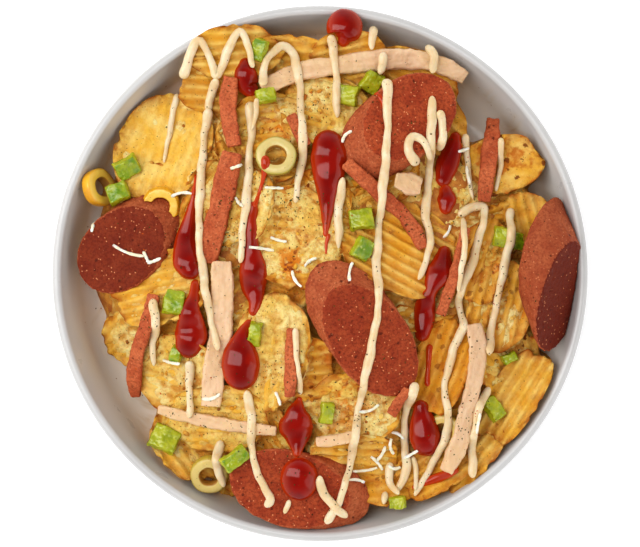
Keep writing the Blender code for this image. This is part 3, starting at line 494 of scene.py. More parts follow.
def sausage_material(name, light, dark, deep, glints, darkening=0.85):
    """Fine-minced meat: mottled, with pits in painted shade and small bright glints of fat."""
    paint = Paint(name, 0.18, softness=(0.12, 0.0012))
    paint.base(paint.clouds(110, 0.35, 0.66, 4, 0.6), srgb(*light), srgb(*dark))
    # Painted shade on a slice turned from the light, as far as its dark value and the darkening go.
    paint.cover(paint.attribute("dark"), srgb(*deep), darkening)
    paint.cover(paint.clouds(800, 0.45, 0.62, 3, 0.7), srgb(*deep), 0.5)
    paint.cover(paint.blots(420, 0.16, 0.3), srgb(234, 160, 112), glints)
    # Pits, sunk by the relief below too, darkened as painted shade.
    pit = paint.blots(190, 0.13, 0.25)
    paint.cover(pit, srgb(88, 32, 18), 0.7)
    relief = paint.math("SUBTRACT", paint.noise(220, 2), pit)
    return paint.done(paint.clouds(600, -1.2, 1.6), (paint.noise(700, 4, 0.65), 0.0006), (relief, 0.0006))


def chicken_material():
    paint = Paint("chicken", 0.35, softness=(0.3, 0.003))
    along = {"Vector": paint.attribute("strip", "Vector"), "Scale": (90, 420, 420)}
    fibre = paint.noise(1, 2, vector=paint.node("ShaderNodeMapping", along).outputs["Vector"])
    paint.base(paint.ramp(fibre, 0.3, 0.8), srgb(228, 194, 158), srgb(214, 174, 136))
    paint.cover(paint.clouds(60, 0.4, 0.65, 2), srgb(224, 188, 140), 0.6)
    paint.cover(paint.blots(360, 0.1, 0.12), srgb(120, 100, 66), 0.7)
    return paint.done(0.45, (fibre, 0.0002), (paint.noise(260, 4, 0.6), 0.0007))


def olive_material():
    paint = Paint("olive", 0.4, (0.3, 0.12), (0.25, 0.002))
    green = paint.attribute("green")
    paint.base(paint.clouds(130), srgb(238, 180, 40), srgb(216, 154, 28))
    paint.cover(green, srgb(176, 162, 70))
    paint.cover(paint.attribute("cut"), paint.mix(green, srgb(232, 192, 84), srgb(210, 190, 124)))
    # Painted shade inside the hole.
    paint.cover(paint.attribute("inside"), srgb(168, 118, 50))
    paint.cover(paint.blots(330, 0.1, 0.15), srgb(128, 96, 40), 0.5)
    return paint.done(0.3, (paint.noise(400), 0.0004))


def pepper_material():
    paint = Paint("pepper", coat=(0.3, 0.12), softness=(0.3, 0.003))
    cloud = paint.clouds(160)
    paint.base(cloud, srgb(180, 182, 38), srgb(146, 156, 14))
    paint.cover(paint.attribute("skin"), paint.mix(cloud, srgb(108, 140, 14), srgb(158, 168, 26)))
    paint.cover(paint.clouds(380, 0.6, 0.72, 2), srgb(208, 214, 96), 0.5)
    return paint.done(0.25, (paint.noise(350), 0.0005))


def red_sauce_material():
    paint = Paint("red_sauce", 0.36)
    paint.base(paint.clouds(90, 0.4, 0.6, 2), (0.20, 0.003, 0.001), (0.27, 0.005, 0.001))
    paint.cover(paint.attribute("thin"), (0.56, 0.060, 0.004))
    return paint.done(0.12, (paint.noise(90, 2), 0.0001))


def pale_sauce_material():
    paint = Paint("pale_sauce", 0.4, (0.2, 0.18), (0.35, 0.003))
    paint.base(paint.clouds(120), srgb(230, 211, 176), srgb(222, 195, 150))
    # The lower side of each line is yellower and darker: partly the food seen through its thin edge, partly
    # painted shade on the underside.
    paint.cover(paint.attribute("low"), srgb(222, 188, 130), 0.6)
    paint.cover(paint.blots(330, 0.06, 0.06), srgb(130, 120, 90), 0.6)
    return paint.done(0.32, (paint.noise(220), 0.0007))


def shred_material():
    paint = Paint("cheese_shred", softness=(0.4, 0.003))
    paint.base(paint.clouds(300), srgb(250, 246, 232), srgb(240, 228, 196))
    return paint.done(0.4, (paint.noise(900), 0.0004))


def fleck_material(name, light, dark):
    paint = Paint(name, 0.1)
    paint.base(paint.clouds(900, 0.4, 0.6, 2), srgb(*light), srgb(*dark))
    return paint.done(0.7, (paint.noise(2500, 2), 0.0002))


def floor_material():
    paint = Paint("floor", glow=0.25)
    paint.base(paint.noise(6, 2), (0.90, 0.90, 0.90), (0.88, 0.88, 0.885))
    return paint.done(0.7)


def polar(radius, bearing):
    return Vector((radius * math.cos(bearing), radius * math.sin(bearing), 0))


def unit(degrees):
    return polar(1, math.radians(degrees))


def point(pair):
    """A point of a plan table, from mm."""
    return Vector((pair[0] * MM, pair[1] * MM, 0))


def tilted(up, tilt, tilt_bearing):
    """The direction up, leaned over by a tilt in degrees towards a bearing."""
    return (up + unit(tilt_bearing) * math.tan(math.radians(tilt))).normalized()


def frame_at(at, up, along):
    """Matrix with +Z on up and +X as near as it can be to along."""
    side = up.cross(along).normalized()
    ahead = side.cross(up)
    return Matrix.Translation(at) @ Matrix((ahead, side, up)).transposed().to_4x4()


def floor_profile(radius):
    """Height of the plate's inner surface at that distance from its centre, and of the rim beyond it."""
    if radius <= FLOOR_RADIUS:
        return FLOOR_HEIGHT
    out = radius - FLOOR_RADIUS
    if out < COVE_RADIUS * math.cos(WALL_LEAN):
        return FLOOR_HEIGHT + COVE_RADIUS - math.sqrt(COVE_RADIUS**2 - out**2)
    wall_start = FLOOR_HEIGHT + COVE_RADIUS * (1 - math.sin(WALL_LEAN))
    return min(RIM_HEIGHT, wall_start + (out - COVE_RADIUS * math.cos(WALL_LEAN)) / math.tan(WALL_LEAN))


def mound_edge(bearing):
    """Radius of the mound's foot at that bearing, smoothly between the listed ones."""
    place = (bearing / math.tau % 1) * len(MOUND_EDGE)
    before = int(place) % len(MOUND_EDGE)
    share = place - int(place)
    share = share * share * (3 - 2 * share)
    here, there = MOUND_EDGE[before], MOUND_EDGE[(before + 1) % len(MOUND_EDGE)]
    return (here + (there - here) * share) * MM


def mound_height(x, y):
    """Height of the bare mound, under its chips."""
    outward = min(math.hypot(x, y) / mound_edge(math.atan2(y, x)), 1)
    rise = MOUND_RISE * (1 - outward**MOUND_FULLNESS) ** MOUND_SHOULDER
    bump = MOUND_BUMP * noise.noise(Vector((x, y, SEED * MM)) / (30 * MM)) * (1 - outward)
    return FLOOR_HEIGHT + MOUND_LIP + rise + 2 * bump


def mound_normal(x, y):
    step = 4 * MM
    slope_x = (mound_height(x + step, y) - mound_height(x - step, y)) / (2 * step)
    slope_y = (mound_height(x, y + step) - mound_height(x, y - step)) / (2 * step)
    return Vector((-slope_x, -slope_y, 1)).normalized()


def grid_faces(rows, columns, start=0, closed=False):
    """Quads of a grid of points numbered row by row. A closed grid joins its last column to its first."""
    spans = columns if closed else columns - 1
    row, column = np.meshgrid(np.arange(rows - 1), np.arange(spans), indexing="ij")
    here, above = row * columns, (row + 1) * columns
    after = (column + 1) % columns
    corners = here + column, here + after, above + after, above + column
    return np.stack([c.ravel() for c in corners], axis=1) + start


def linked(name, data):
    """A new object of that data, in the scene."""
    obj = bpy.data.objects.new(name, data)
    bpy.context.scene.collection.objects.link(obj)
    return obj


def make_piece(name, points, faces, materials, slot, attributes=None, node=None):
    """A mesh object that rides on the plate's body, in place of a node where one is named."""
    mesh = bpy.data.meshes.new(name)
    mesh.from_pydata([tuple(p) for p in np.asarray(points).tolist()], [], [tuple(f) for f in faces])
    mesh.update()
    for key, values in (attributes or {}).items():
        values = np.asarray(values, dtype=np.float32)
        kind, field = ("FLOAT", "value") if values.ndim == 1 else ("FLOAT_VECTOR", "vector")
        mesh.attributes.new(key, kind, "POINT").data.foreach_set(field, values.ravel())
    mesh.shade_smooth()
    for material in materials:
        mesh.materials.append(material)
    obj = linked(name, mesh)
    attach(obj, BODY)
    if node:
        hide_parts(node)
    return obj


def arc(centre, radius, start, end, steps):
    """Points (r, z) along an arc, its ends included. Angles are in degrees from +r."""
    for i in range(steps + 1):
        angle = math.radians(start + (end - start) * i / steps)
        yield centre[0] + radius * math.cos(angle), centre[1] + radius * math.sin(angle)


def make_plate():
    """The turned shell: floor, cove, leaning wall, round rim, outer wall and foot ring."""
    lean = math.degrees(WALL_LEAN)
    rim = WALL / 2
    cove_centre = (FLOOR_RADIUS, FLOOR_HEIGHT + COVE_RADIUS)
    profile = [(0.05 * MM, FLOOR_HEIGHT), (FLOOR_RADIUS * 0.5, FLOOR_HEIGHT)]
    profile += arc(cove_centre, COVE_RADIUS, -90, -lean, 14)
    inner_rings = len(profile)
    profile += arc((RIM_RADIUS - rim, RIM_HEIGHT - rim), rim, 180 - lean, -lean, 14)
    profile += arc(cove_centre, COVE_RADIUS + WALL * 0.8, -lean, -80, 12)
    edge = FOOT_HEIGHT / 4
    profile += arc((FOOT_RADIUS + FOOT_WIDTH - edge, edge), edge, 30, -90, 4)
    profile += arc((FOOT_RADIUS, edge), edge, -90, -180, 4)
    profile += [(FOOT_RADIUS - FOOT_HEIGHT / 2, FOOT_HEIGHT * 0.8), (0.05 * MM, FOOT_HEIGHT * 0.8)]
    turns = [math.tau * i / PLATE_STEPS for i in range(PLATE_STEPS)]
    points = [(r * math.cos(turn), r * math.sin(turn), z) for r, z in profile for turn in turns]
    faces = grid_faces(len(profile), PLATE_STEPS, closed=True).tolist()
    # Marks the inside of the shell, which the glaze paints lighter as painted light.
    inner = [1.0 if k < inner_rings else 0.0 for k in range(len(profile)) for _ in turns]
    materials = [plate_material()]
    plate = make_piece("glazed_plate", points, faces, materials, "glaze", {"inner": inner}, "plate")
    plate.data.set_sharp_from_angle(angle=math.radians(50))


class Heap:
    """Joined meshes of one kind, gathered as arrays."""

    def __init__(self):
        self.points = []
        self.faces = []
        self.ends = []
        self.attributes = {}
        self.count = 0

    def add(self, points, faces, **attributes):
        self.points.append(points)
        self.faces.append(faces + self.count)
        for key, values in attributes.items():
            self.attributes.setdefault(key, []).append(np.broadcast_to(values, len(points)))
        self.count += len(points)

    def add_tube(self, points, faces, **attributes):
        """Adds a tube, whose two end faces have more corners than the rest."""
        self.ends += [[corner + self.count for corner in face] for face in faces if len(face) != 4]
        self.add(np.array(points), np.array([face for face in faces if len(face) == 4]), **attributes)

    def made(self, name, material, slot, node=None, maker=make_piece):
        """One piece of all that was gathered."""
        faces = np.concatenate(self.faces).tolist() + self.ends
        attributes = {key: np.concatenate(values) for key, values in self.attributes.items()}
        return maker(name, np.concatenate(self.points), faces, [material], slot, attributes, node)


def wavy(rng, count, swing, waves):
    """A smooth random line: a few sines of random height and phase."""
    place = np.linspace(0, 1, count)
    line = np.zeros(count)
    for k in range(1, waves + 1):
        line += rng.uniform(-1, 1) / k * np.sin(2 * math.pi * k * place + rng.uniform(0, math.tau))
    return line * swing


def chip_arrays(sizes, matrix, ridges, rng, shapes):
    """Points, faces, painted shade between the ridges and edge values of one ridged chip."""
    half_length, half_width = (size * MM for size in sizes)
    wobble, twist = rng.uniform(0, math.tau), rng.uniform(-1.5, 1.5) * MM
    columns = max(14, round(2 * half_width / CHIP_COLUMN)) + 1
    rows = max(8, round(2 * half_length / CHIP_ROW)) + 1
    s = np.linspace(-1, 1, columns)
    t = np.linspace(-1, 1, rows)[:, None]
    outline = (1 - np.abs(s * 0.99) ** CHIP_OUTLINE) ** (1 / CHIP_OUTLINE)
    outline = outline * (1 + 0.07 * np.sin(4 * s + wobble))
    far_end = outline * (1 + wavy(shapes, columns, 0.07, 9))
    near_end = outline * (1 + wavy(shapes, columns, 0.07, 9))
    x = t * (half_length * np.where(t > 0, far_end, near_end))
    y = np.broadcast_to(s * half_width, x.shape) + half_width * 0.04 * np.sin(5 * t + wobble)
    phase = 2 * math.pi * y / RIDGE_PITCH + wobble
    bow = shapes.uniform(-1.2, 1.2) * MM
    height = CHIP_CUP * s * s + twist * s * t + bow * t * t + ridges * RIDGE_HEIGHT * np.sin(phase)
    height = height + 0.35 * MM * np.sin(9 * t + 3 * s + wobble)
    blisters = [noise.noise(Vector((a, b, wobble * MM)) / CHIP_BLISTER_SIZE) for a, b in zip(x.flat, y.flat)]
    height = height + CHIP_BLISTER * np.reshape(blisters, x.shape)
    top = np.stack([x, y, height], axis=-1).reshape(-1, 3)
    bottom = np.stack([x * 0.985, y * 0.985, height - CHIP_THICKNESS], axis=-1).reshape(-1, 3)
    points = np.concatenate([top, bottom]) @ np.array(matrix.to_3x3()).T + np.array(matrix.translation)
    index = np.arange(rows * columns).reshape(rows, columns)
    loop = np.concatenate([index[0, :-1], index[:-1, -1], index[-1, :0:-1], index[:0:-1, 0]])
    after = np.roll(loop, -1)
    rim = np.stack([loop, loop + rows * columns, after + rows * columns, after], axis=1)
    faces_bottom = grid_faces(rows, columns, rows * columns)[:, ::-1]
    # How deep between the ridges each point lies, for the painted shade there.
    valley = np.concatenate([(1 - np.sin(phase)).ravel() / 2] * 2)
    reach = np.maximum(np.abs(t), np.abs(s)) ** 6
    edge = np.concatenate([np.broadcast_to(reach, x.shape).ravel()] * 2)
    return points, np.concatenate([grid_faces(rows, columns), faces_bottom, rim]), valley, edge


def chip_place(centre, ridge_bearing, tilt, tilt_bearing, height=None):
    """Matrix of a chip of the table, as the heap's solid has it."""
    at, up = point(centre), UP
    if height is None:
        at.z = mound_height(at.x, at.y) + CHIP_LIFT
        up = up.lerp(mound_normal(at.x, at.y), CHIP_FOLLOW).normalized()
    else:
        at.z = height * MM
    return frame_at(at, tilted(up, tilt, tilt_bearing), unit(ridge_bearing))


class Surface:
    """The upper surface of what has been laid so far, as seen from above."""

    def __init__(self):
        self.trees = []

    def add(self, points, faces):
        self.trees.append(BVHTree.FromPolygons([Vector(p) for p in points], faces))

    def lay(self, name, points, faces, *details):
        """Makes a piece that later ones can lie on."""
        self.add(points, faces)
        return make_piece(name, points, faces, *details)

    def hit(self, x, y):
        """Height, normal, tree and face of the highest surface there."""
        best = (floor_profile(math.hypot(x, y)), UP, None, None)
        for number, tree in enumerate(self.trees):
            place, normal, face, _ = tree.ray_cast(Vector((x, y, RAY_HEIGHT)), -UP)
            if place is not None and place.z > best[0]:
                best = (place.z, normal, number, face)
        return best

    def around(self, x, y, reach):
        spots = [polar(reach * share, math.tau * k / 6) for k in range(6) for share in (0.5, 1)]
        return sorted(self.hit(x + v.x, y + v.y)[0] for v in spots)


def make_chips(surface, material):
    """The chips of the table and the deeper ones between them. Returns each face's cover of cheese."""
    rng = random.Random(SEED)
    shapes = np.random.default_rng(SEED)
    heap = Heap()
    covers = []
    for centre, sizes, lie, (tone, cover, ridges, spots) in CHIPS.values():
        points, faces, valley, edge = chip_arrays(sizes, chip_place(centre, *lie), ridges, rng, shapes)
        # The painted shade between the ridges grows with their depth and with the toasting.
        valley = valley * min(1, ridges * (0.45 + tone))
        heap.add(points, faces, tone=tone, valley=valley, edge=edge, spots=spots)
        covers += [cover] * len(faces)
    heap.made("ridged_chips", material, "chips", "chip_heap", surface.lay)
    make_fillers(surface, material, rng, shapes)
    return covers


def make_fillers(surface, material, rng, shapes):
    """Smaller chips, deeper in the heap, that fill what the main ones leave open."""
    heap = Heap()
    while len(heap.points) < FILLER_COUNT:
        bearing = rng.uniform(0, math.tau)
        at = polar(math.sqrt(rng.uniform(0.02, 0.92)) * mound_edge(bearing) * 0.95, bearing)
        at.z = mound_height(at.x, at.y) - FILLER_DROP
        up = mound_normal(at.x, at.y).lerp(UP, 0.5)
        matrix = frame_at(at, tilted(up, rng.uniform(2, 16), rng.uniform(0, 360)), unit(rng.uniform(0, 360)))
        sizes = rng.uniform(13, 20), rng.uniform(11, 16)
        points, faces, valley, edge = chip_arrays(sizes, matrix, 1, rng, shapes)
        spots = points[:: max(1, len(points) // 60)]
        hits = [(p[2], *surface.hit(p[0], p[1])) for p in spots]
        proud = max((z - height for z, height, _, tree, _ in hits if tree is not None), default=0)
        room = min(mound_edge(math.atan2(p[1], p[0])) - math.hypot(p[0], p[1]) for p in spots)
        if room > -FILLER_REACH and proud < FILLER_PROUD:
            tone = rng.uniform(0.2, 0.8)
            heap.add(points, faces, tone=tone, valley=valley, edge=edge, spots=rng.random() ** 2)
    heap.made("deeper_chips", material, "chips", "chip_heap", surface.lay)


def make_bed(surface):
    """The uneven mass under the chips, closed, from its top down to the plate's floor."""
    points = []
    top = [0.005 + 0.995 * k / BED_RINGS for k in range(BED_RINGS + 1)]
    for k, share in enumerate((*top, 0.97, 0.4, 0.005)):
        for i in range(BED_SEGMENTS):
            bearing = math.tau * i / BED_SEGMENTS
            at = polar(mound_edge(bearing) * share * 0.985, bearing)
            floor = floor_profile(at.length)
            if k < len(top):
                rough = noise.fractal(at / (9 * MM), 0.8, 2.0, 3) * 1.6 * MM
                height = max(mound_height(at.x, at.y) - BED_DROP, floor + 1.5 * MM)
                at.z = height + rough * (1 - share**8)
            else:
                at.z = floor + 0.2 * MM
            points.append(at)
    faces = grid_faces(BED_RINGS + 4, BED_SEGMENTS, closed=True).tolist()
    surface.lay("heap_core", points, faces, [bed_material()], "chips", None, "chip_heap")


def blurred(field, sigma):
    """The field, blurred by a Gaussian of that many cells."""
    reach = int(3 * sigma) + 1
    kernel = np.exp(-(np.arange(-reach, reach + 1) ** 2) / (2 * sigma**2))
    kernel /= kernel.sum()
    padded = np.pad(field, reach, mode="edge")
    rows = np.apply_along_axis(lambda line: np.convolve(line, kernel, mode="valid"), 0, padded)
    return np.apply_along_axis(lambda line: np.convolve(line, kernel, mode="valid"), 1, rows)


def browning(x, y):
    """How browned the cheese is there, at least a little everywhere."""
    share = 0.12
    for centre, radius in CHEESE_BROWNED:
        distance = math.hypot(x - centre[0] * MM, y - centre[1] * MM) / (radius * MM)
        share = max(share, 1.1 - distance)
    return min(share, 1)


def make_cheese(surface, covers):
    """Melted cheese: the heap's own surface, softened, where it lies above the chips."""
    count = round(2 * CHEESE_REACH / CHEESE_STEP) + 1
    line = np.linspace(-CHEESE_REACH, CHEESE_REACH, count)

    def field(rule):
        return np.array([[rule(Vector((x, y, 0))) for x in line] for y in line])

    heights = np.zeros((count, count))
    cover = np.zeros((count, count))
    for i, y in enumerate(line):
        for j, x in enumerate(line):
            heights[i, j], _, tree, face = surface.hit(x, y)
            if tree == CHIP_TREE:
                cover[i, j] = covers[face]
            else:
                cover[i, j] = -1.0 if tree is None else 0.55
    smooth = 0.45 * blurred(heights, 1.4) + 0.55 * blurred(heights, 3.8)
    patches = field(lambda at: noise.fractal(at / (16 * MM), 0.7, 2.0, 3))
    puffs = field(lambda at: abs(noise.noise(at / CHEESE_LUMP)))
    crumbs = field(lambda at: abs(noise.noise(at / CHEESE_CRUMB)))
    lumps = puffs + 0.55 * crumbs - 0.35
    share = np.clip(blurred(cover, 4.2) + 0.35 * patches, -1.5, 1)
    level = smooth + CHEESE_THIN + (CHEESE_THICK - CHEESE_THIN) * share + CHEESE_RELIEF * lumps
    above = level - heights > -CHEESE_MARGIN
    cell = above[:-1, :-1] | above[1:, :-1] | above[:-1, 1:] | above[1:, 1:]
    faces = grid_faces(count, count)[cell.ravel()]
    used, numbers = np.unique(faces, return_inverse=True)
    x, y = np.meshgrid(line, line)
    points = np.stack([x.ravel(), y.ravel(), level.ravel()], axis=1)[used]
    # How far each point lies below its surroundings, for the painted shade in the dips.
    hollow = np.clip((blurred(level, 3) - level) / (0.45 * MM), 0, 1).ravel()[used]
    attributes = {"brown": [browning(p[0], p[1]) for p in points], "hollow": hollow}
    faces = numbers.reshape(faces.shape).tolist()
    surface.lay("melted_cheese", points, faces, [cheese_material()], "chips", attributes, "chip_heap")


def fine_copy(node, voxel, smoothing, size, swing):
    """A node's mesh, made fine, soft and uneven: the mesh, points, normals and faces."""
    copy = linked("copy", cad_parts[node].data.copy())
    remesh = copy.modifiers.new("voxels", "REMESH")
    remesh.mode = "VOXEL"
    remesh.voxel_size = voxel
    smooth = copy.modifiers.new("smooth", "SMOOTH")
    smooth.factor = 0.5
    smooth.iterations = smoothing
    graph = bpy.context.evaluated_depsgraph_get()
    mesh = bpy.data.meshes.new_from_object(copy.evaluated_get(graph))
    bpy.data.objects.remove(copy)
    arrays = np.empty((2, len(mesh.vertices) * 3))
    mesh.vertices.foreach_get("co", arrays[0])
    mesh.vertices.foreach_get("normal", arrays[1])
    points, normals = arrays.reshape(2, -1, 3)
    for i, (p, n) in enumerate(zip(points, normals)):
        points[i] = p + n * swing * noise.fractal(Vector(p) / size, 0.8, 2.0, 3)
    return mesh, points, normals, [tuple(face.vertices) for face in mesh.polygons]


def make_slice(name, row, surface, materials):
    """A sausage slice: cut faces of one finish, and a skin side of the other."""
    tilt, tilt_bearing, dark = row
    node = "sausage_slice_" + name
    mesh, points, _, faces = fine_copy(node, 0.75 * MM, 3, 5 * MM, 0.35 * MM)
    up = tilted(UP, tilt, tilt_bearing)
    skin = [1 if abs(face.normal.dot(up)) < 0.86 else 0 for face in mesh.polygons]
    # How much painted shade this slice's meat takes.
    attributes = {"dark": np.full(len(points), dark)}
    fine = "sausage_slice_fine_" + name
    piece = surface.lay(fine, points, faces, materials, "sausage", attributes, node)
    piece.data.polygons.foreach_set("material_index", skin)


def strip_coordinates(points):
    """Coordinates along, across and above a strip, from its own longest direction."""
    centre = points.mean(axis=0)
    flat = (points - centre)[:, :2]
    _, axes = np.linalg.eigh(flat.T @ flat)
    return np.column_stack([flat @ axes[:, 1], flat @ axes[:, 0], points[:, 2]])


def make_strip(node, material, slot, surface):
    _, points, _, faces = fine_copy(node, 0.6 * MM, 7, 4 * MM, 0.45 * MM)
    # Strips take no painted shade.
    attributes = {"strip": strip_coordinates(points), "dark": np.zeros(len(points))}
    surface.lay(node + "_fine", points, faces, [material], slot, attributes, node)


def make_pepper(node, material, surface, rng):
    _, points, normals, faces = fine_copy(node, 0.45 * MM, 8, 3.5 * MM, 0.5 * MM)
    skin_side = 1 if rng.random() < 0.55 else -1
    skin = np.clip((normals[:, 2] * skin_side - 0.55) * 4, 0, 1)
    surface.lay(node + "_fine", points, faces, [material], "pepper", {"skin": skin}, node)


def make_cut_olive(node, material, surface):
    """The ring that lies half under a slice, as its solid has it."""
    _, points, normals, faces = fine_copy(node, 0.4 * MM, 4, 5 * MM, 0.2 * MM)
    plain = np.zeros(len(points))
    attributes = {"inside": plain, "green": plain, "cut": np.clip((normals[:, 2] - 0.8) * 8, 0, 1)}
    surface.lay(node + "_fine", points, faces, [material], "olive", attributes, node)


def make_olive(name, row, material, surface):
    """A barrel-sided ring, at the height of its solid."""
    centre, tilt, tilt_bearing, green = row
    half = OLIVE_HEIGHT / 2
    profile = [(OLIVE_HOLE * 1.04, half * 0.9), (OLIVE_HOLE * 1.14, half)]
    profile += [(OLIVE_RADIUS * 0.86, half), (OLIVE_RADIUS * 0.94, half * 0.9)]
    for a in np.linspace(0.6, -0.6, 7):
        profile.append((OLIVE_RADIUS * (0.96 + 0.1 * math.cos(a)), half * 1.3 * math.sin(a)))
    profile += [(r, -z) for r, z in reversed(profile[:4])]
    profile += [(OLIVE_HOLE * 0.98, -half * 0.4), (OLIVE_HOLE * 0.98, half * 0.4)]
    matrix = frame_at(point(centre), tilted(UP, tilt, tilt_bearing), Vector((1, 0, 0)))
    points, inside, cut = [], [], []
    for k in range(OLIVE_STEPS):
        turn = math.tau * k / OLIVE_STEPS
        out = 1 + 0.03 * math.sin(2 * turn + tilt) + 0.015 * math.sin(5 * turn)
        for r, z in profile:
            points.append(matrix @ (polar(r * out, turn) + UP * z))
            # Points in the hole, for the painted shade there.
            inside.append(1.0 if r < OLIVE_HOLE * 1.1 else 0.0)
            cut.append(1.0 if OLIVE_HOLE * 1.1 < r < OLIVE_RADIUS * 0.95 else 0.0)
    node = "olive_" + name
    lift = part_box(node)[1][2] - max(p.z for p in points)
    points = [p + UP * lift for p in points]
    index = np.arange(len(points)).reshape(OLIVE_STEPS, len(profile))
    ahead = np.roll(index, -1, 0)
    corners = ahead, np.roll(ahead, -1, 1), np.roll(index, -1, 1), index
    faces = np.stack(corners, -1).reshape(-1, 4).tolist()
    attributes = {"inside": inside, "cut": cut, "green": [green] * len(points)}
    surface.lay("olive_ring_" + name, points, faces, [material], "olive", attributes, node)


def smooth_line(points, step):
    """Evenly spaced points along a smooth curve through the given ones."""
    ends = [2 * points[0] - points[1], *points, 2 * points[-1] - points[-2]]
    dense = []
    for a, b, c, d in zip(ends, ends[1:], ends[2:], ends[3:]):
        for t in (k / CURVE_STEPS for k in range(CURVE_STEPS)):
            curve = 2 * b + (c - a) * t + (2 * a - 5 * b + 4 * c - d) * t**2
            dense.append(0.5 * (curve + (3 * b - a - 3 * c + d) * t**3))
    dense.append(points[-1])
    lengths = [0]
    for a, b in zip(dense, dense[1:]):
        lengths.append(lengths[-1] + (b - a).length)
    count = max(2, round(lengths[-1] / step))
    made, k = [], 0
    for i in range(count + 1):
        want = lengths[-1] * i / count
        while k < len(dense) - 2 and lengths[k + 1] < want:
            k += 1
        span = max(lengths[k + 1] - lengths[k], 1e-9)
        made.append(dense[k].lerp(dense[k + 1], (want - lengths[k]) / span))
    return made


def settle(heights, passes):
    """Lets a line of heights hang smoothly over its high spots."""
    for _ in range(passes):
        ends = [heights[0], *heights, heights[-1]]
        heights = [max(h, (a + h + b) / 3) for a, h, b in zip(ends, heights, ends[2:])]
    return heights


def eased(values, passes):
    """The values, each moved towards its neighbours so many times."""
    for _ in range(passes):
        ends = [values[0], *values, values[-1]]
        values = [(a + 2 * v + b) / 4 for a, v, b in zip(ends, values, ends[2:])]
    return values


def tube(line, halves, ups, sides, section):
    """Rings of points round a line, each as section(turn) gives it, closed by a face at each end."""
    points = []
    last = len(line) - 1
    for i, (at, half, up) in enumerate(zip(line, halves, ups)):
        ahead = (line[min(i + 1, last)] - line[max(i - 1, 0)]).normalized()
        side = Vector((-ahead.y, ahead.x, 0)).normalized()
        for k in range(sides):
            across, rise = section(math.tau * k / sides)
            points.append(at + side * half * across + Vector((0, 0, up * rise)))
    faces = grid_faces(len(line), sides, closed=True).tolist()
    faces += [tuple(range(sides)), tuple(reversed(range(last * sides, (last + 1) * sides)))]
    return points, faces


def drop_section(turn):
    across, rise = math.cos(turn), math.sin(turn)
    if rise > 0:
        return across, rise**DROP_FLATNESS
    return across * 0.92, rise * 0.25


def round_end(tip, inner, half):
    """Points beyond a spine's tip, each with its half width in z, that close it in a round."""
    out = (tip - inner).normalized()
    made = []
    for k in range(DROP_END_STEPS):
        angle = math.pi / 2 * k / DROP_END_STEPS
        at = tip + out * half * math.cos(angle)
        made.append(Vector((at.x, at.y, half * max(math.sin(angle), 0.1))))
    return made


def drop_shape(row, surface):
    """Domed sections along a drop's spine, sunk a little into what carries it, and how thin the sauce is."""
    spine = smooth_line([Vector(spot) * MM for spot in row], DROP_STEP)
    start = round_end(spine[0].xy.to_3d(), spine[1].xy.to_3d(), spine[0].z)
    end = round_end(spine[-1].xy.to_3d(), spine[-2].xy.to_3d(), spine[-1].z)
    spine = [*start, *spine, *reversed(end)]
    halves = eased([p.z for p in spine], 1)
    heights = [surface.around(p.x, p.y, half * 0.6)[-2] for p, half in zip(spine, halves)]
    heights = eased(settle(heights, 12), 16)
    sinks = [DROP_SINK * min(1, half / (2 * MM)) for half in halves]
    line = [Vector((p.x, p.y, height - sink)) for p, height, sink in zip(spine, heights, sinks)]
    domes = [sink + half * DROP_DOME for half, sink in zip(halves, sinks)]
    points, faces = tube(line, halves, domes, DROP_SIDES, drop_section)
    thin = []
    for half in halves:
        for k in range(DROP_SIDES):
            rim = abs(math.cos(math.tau * k / DROP_SIDES)) ** 3
            thin.append(min(1, 0.75 * rim + max(0, 1 - half / (4 * MM))))
    return points, faces, thin


def make_drop(name, row, surface, material):
    points, faces, thin = drop_shape(row, surface)
    node = "red_sauce_" + name
    surface.lay("red_drop_" + name, points, faces, [material], "red_sauce", {"thin": thin}, node)


def make_streaks(surface, material):
    heap = Heap()
    for row in RED_STREAKS:
        points, faces, thin = drop_shape(row, surface)
        heap.add_tube(points, faces, thin=thin)
    heap.made("red_streaks", material, "red_sauce")


def with_dense_ends(line):
    """The line with extra points close to both its ends, so that a tube round it can end in a round."""
    start = [line[0].lerp(line[1], share) for share in END_SHARES]
    end = [line[-1].lerp(line[-2], share) for share in END_SHARES]
    return [*start, *line[1:-1], *reversed(end)]


def swayed(line, rng):
    """The line, moved a little from side to side as a hand does that pours it."""
    slow, quick = rng.uniform(0, math.tau), rng.uniform(0, math.tau)
    last = len(line) - 1
    made = []
    for i, p in enumerate(line):
        ahead = line[min(i + 1, last)] - line[max(i - 1, 0)]
        side = Vector((-ahead.y, ahead.x, 0)).normalized()
        made.append(p + side * SAUCE_SWAY * (math.sin(0.38 * i + slow) + 0.5 * math.sin(0.83 * i + quick)))
    return made


def sauce_section(turn):
    across, rise = math.cos(turn), math.sin(turn)
    return across, SAUCE_FLATNESS * rise if rise > 0 else 0.6 * rise


def sauce_halves(plan, half, pointed, rng):
    """Half widths along a line of sauce: uneven, often thick where it starts, and closed at both ends."""
    phase, head = rng.uniform(0, math.tau), rng.uniform(-0.1, 0.35)
    along = [0]
    for a, b in zip(plan, plan[1:]):
        along.append(along[-1] + (b - a).length)
    halves = []
    for place in along:
        swell = 1 + 0.13 * math.sin(place / (7.5 * MM) + phase)
        swell += 0.06 * math.sin(place / (2.9 * MM) + 2 * phase)
        swell += head * math.exp(-place / SAUCE_HEAD) - 0.12 * place / along[-1]
        start = min(1, place / (half * ROUND_END))
        end = min(1, (along[-1] - place) / (half * (POINTED_END if pointed else ROUND_END)))
        closed = math.sqrt(1 - (1 - start) ** 2) * math.sqrt(1 - (1 - end) ** 2)
        halves.append(half * swell * max(closed, 0.06))
    return halves


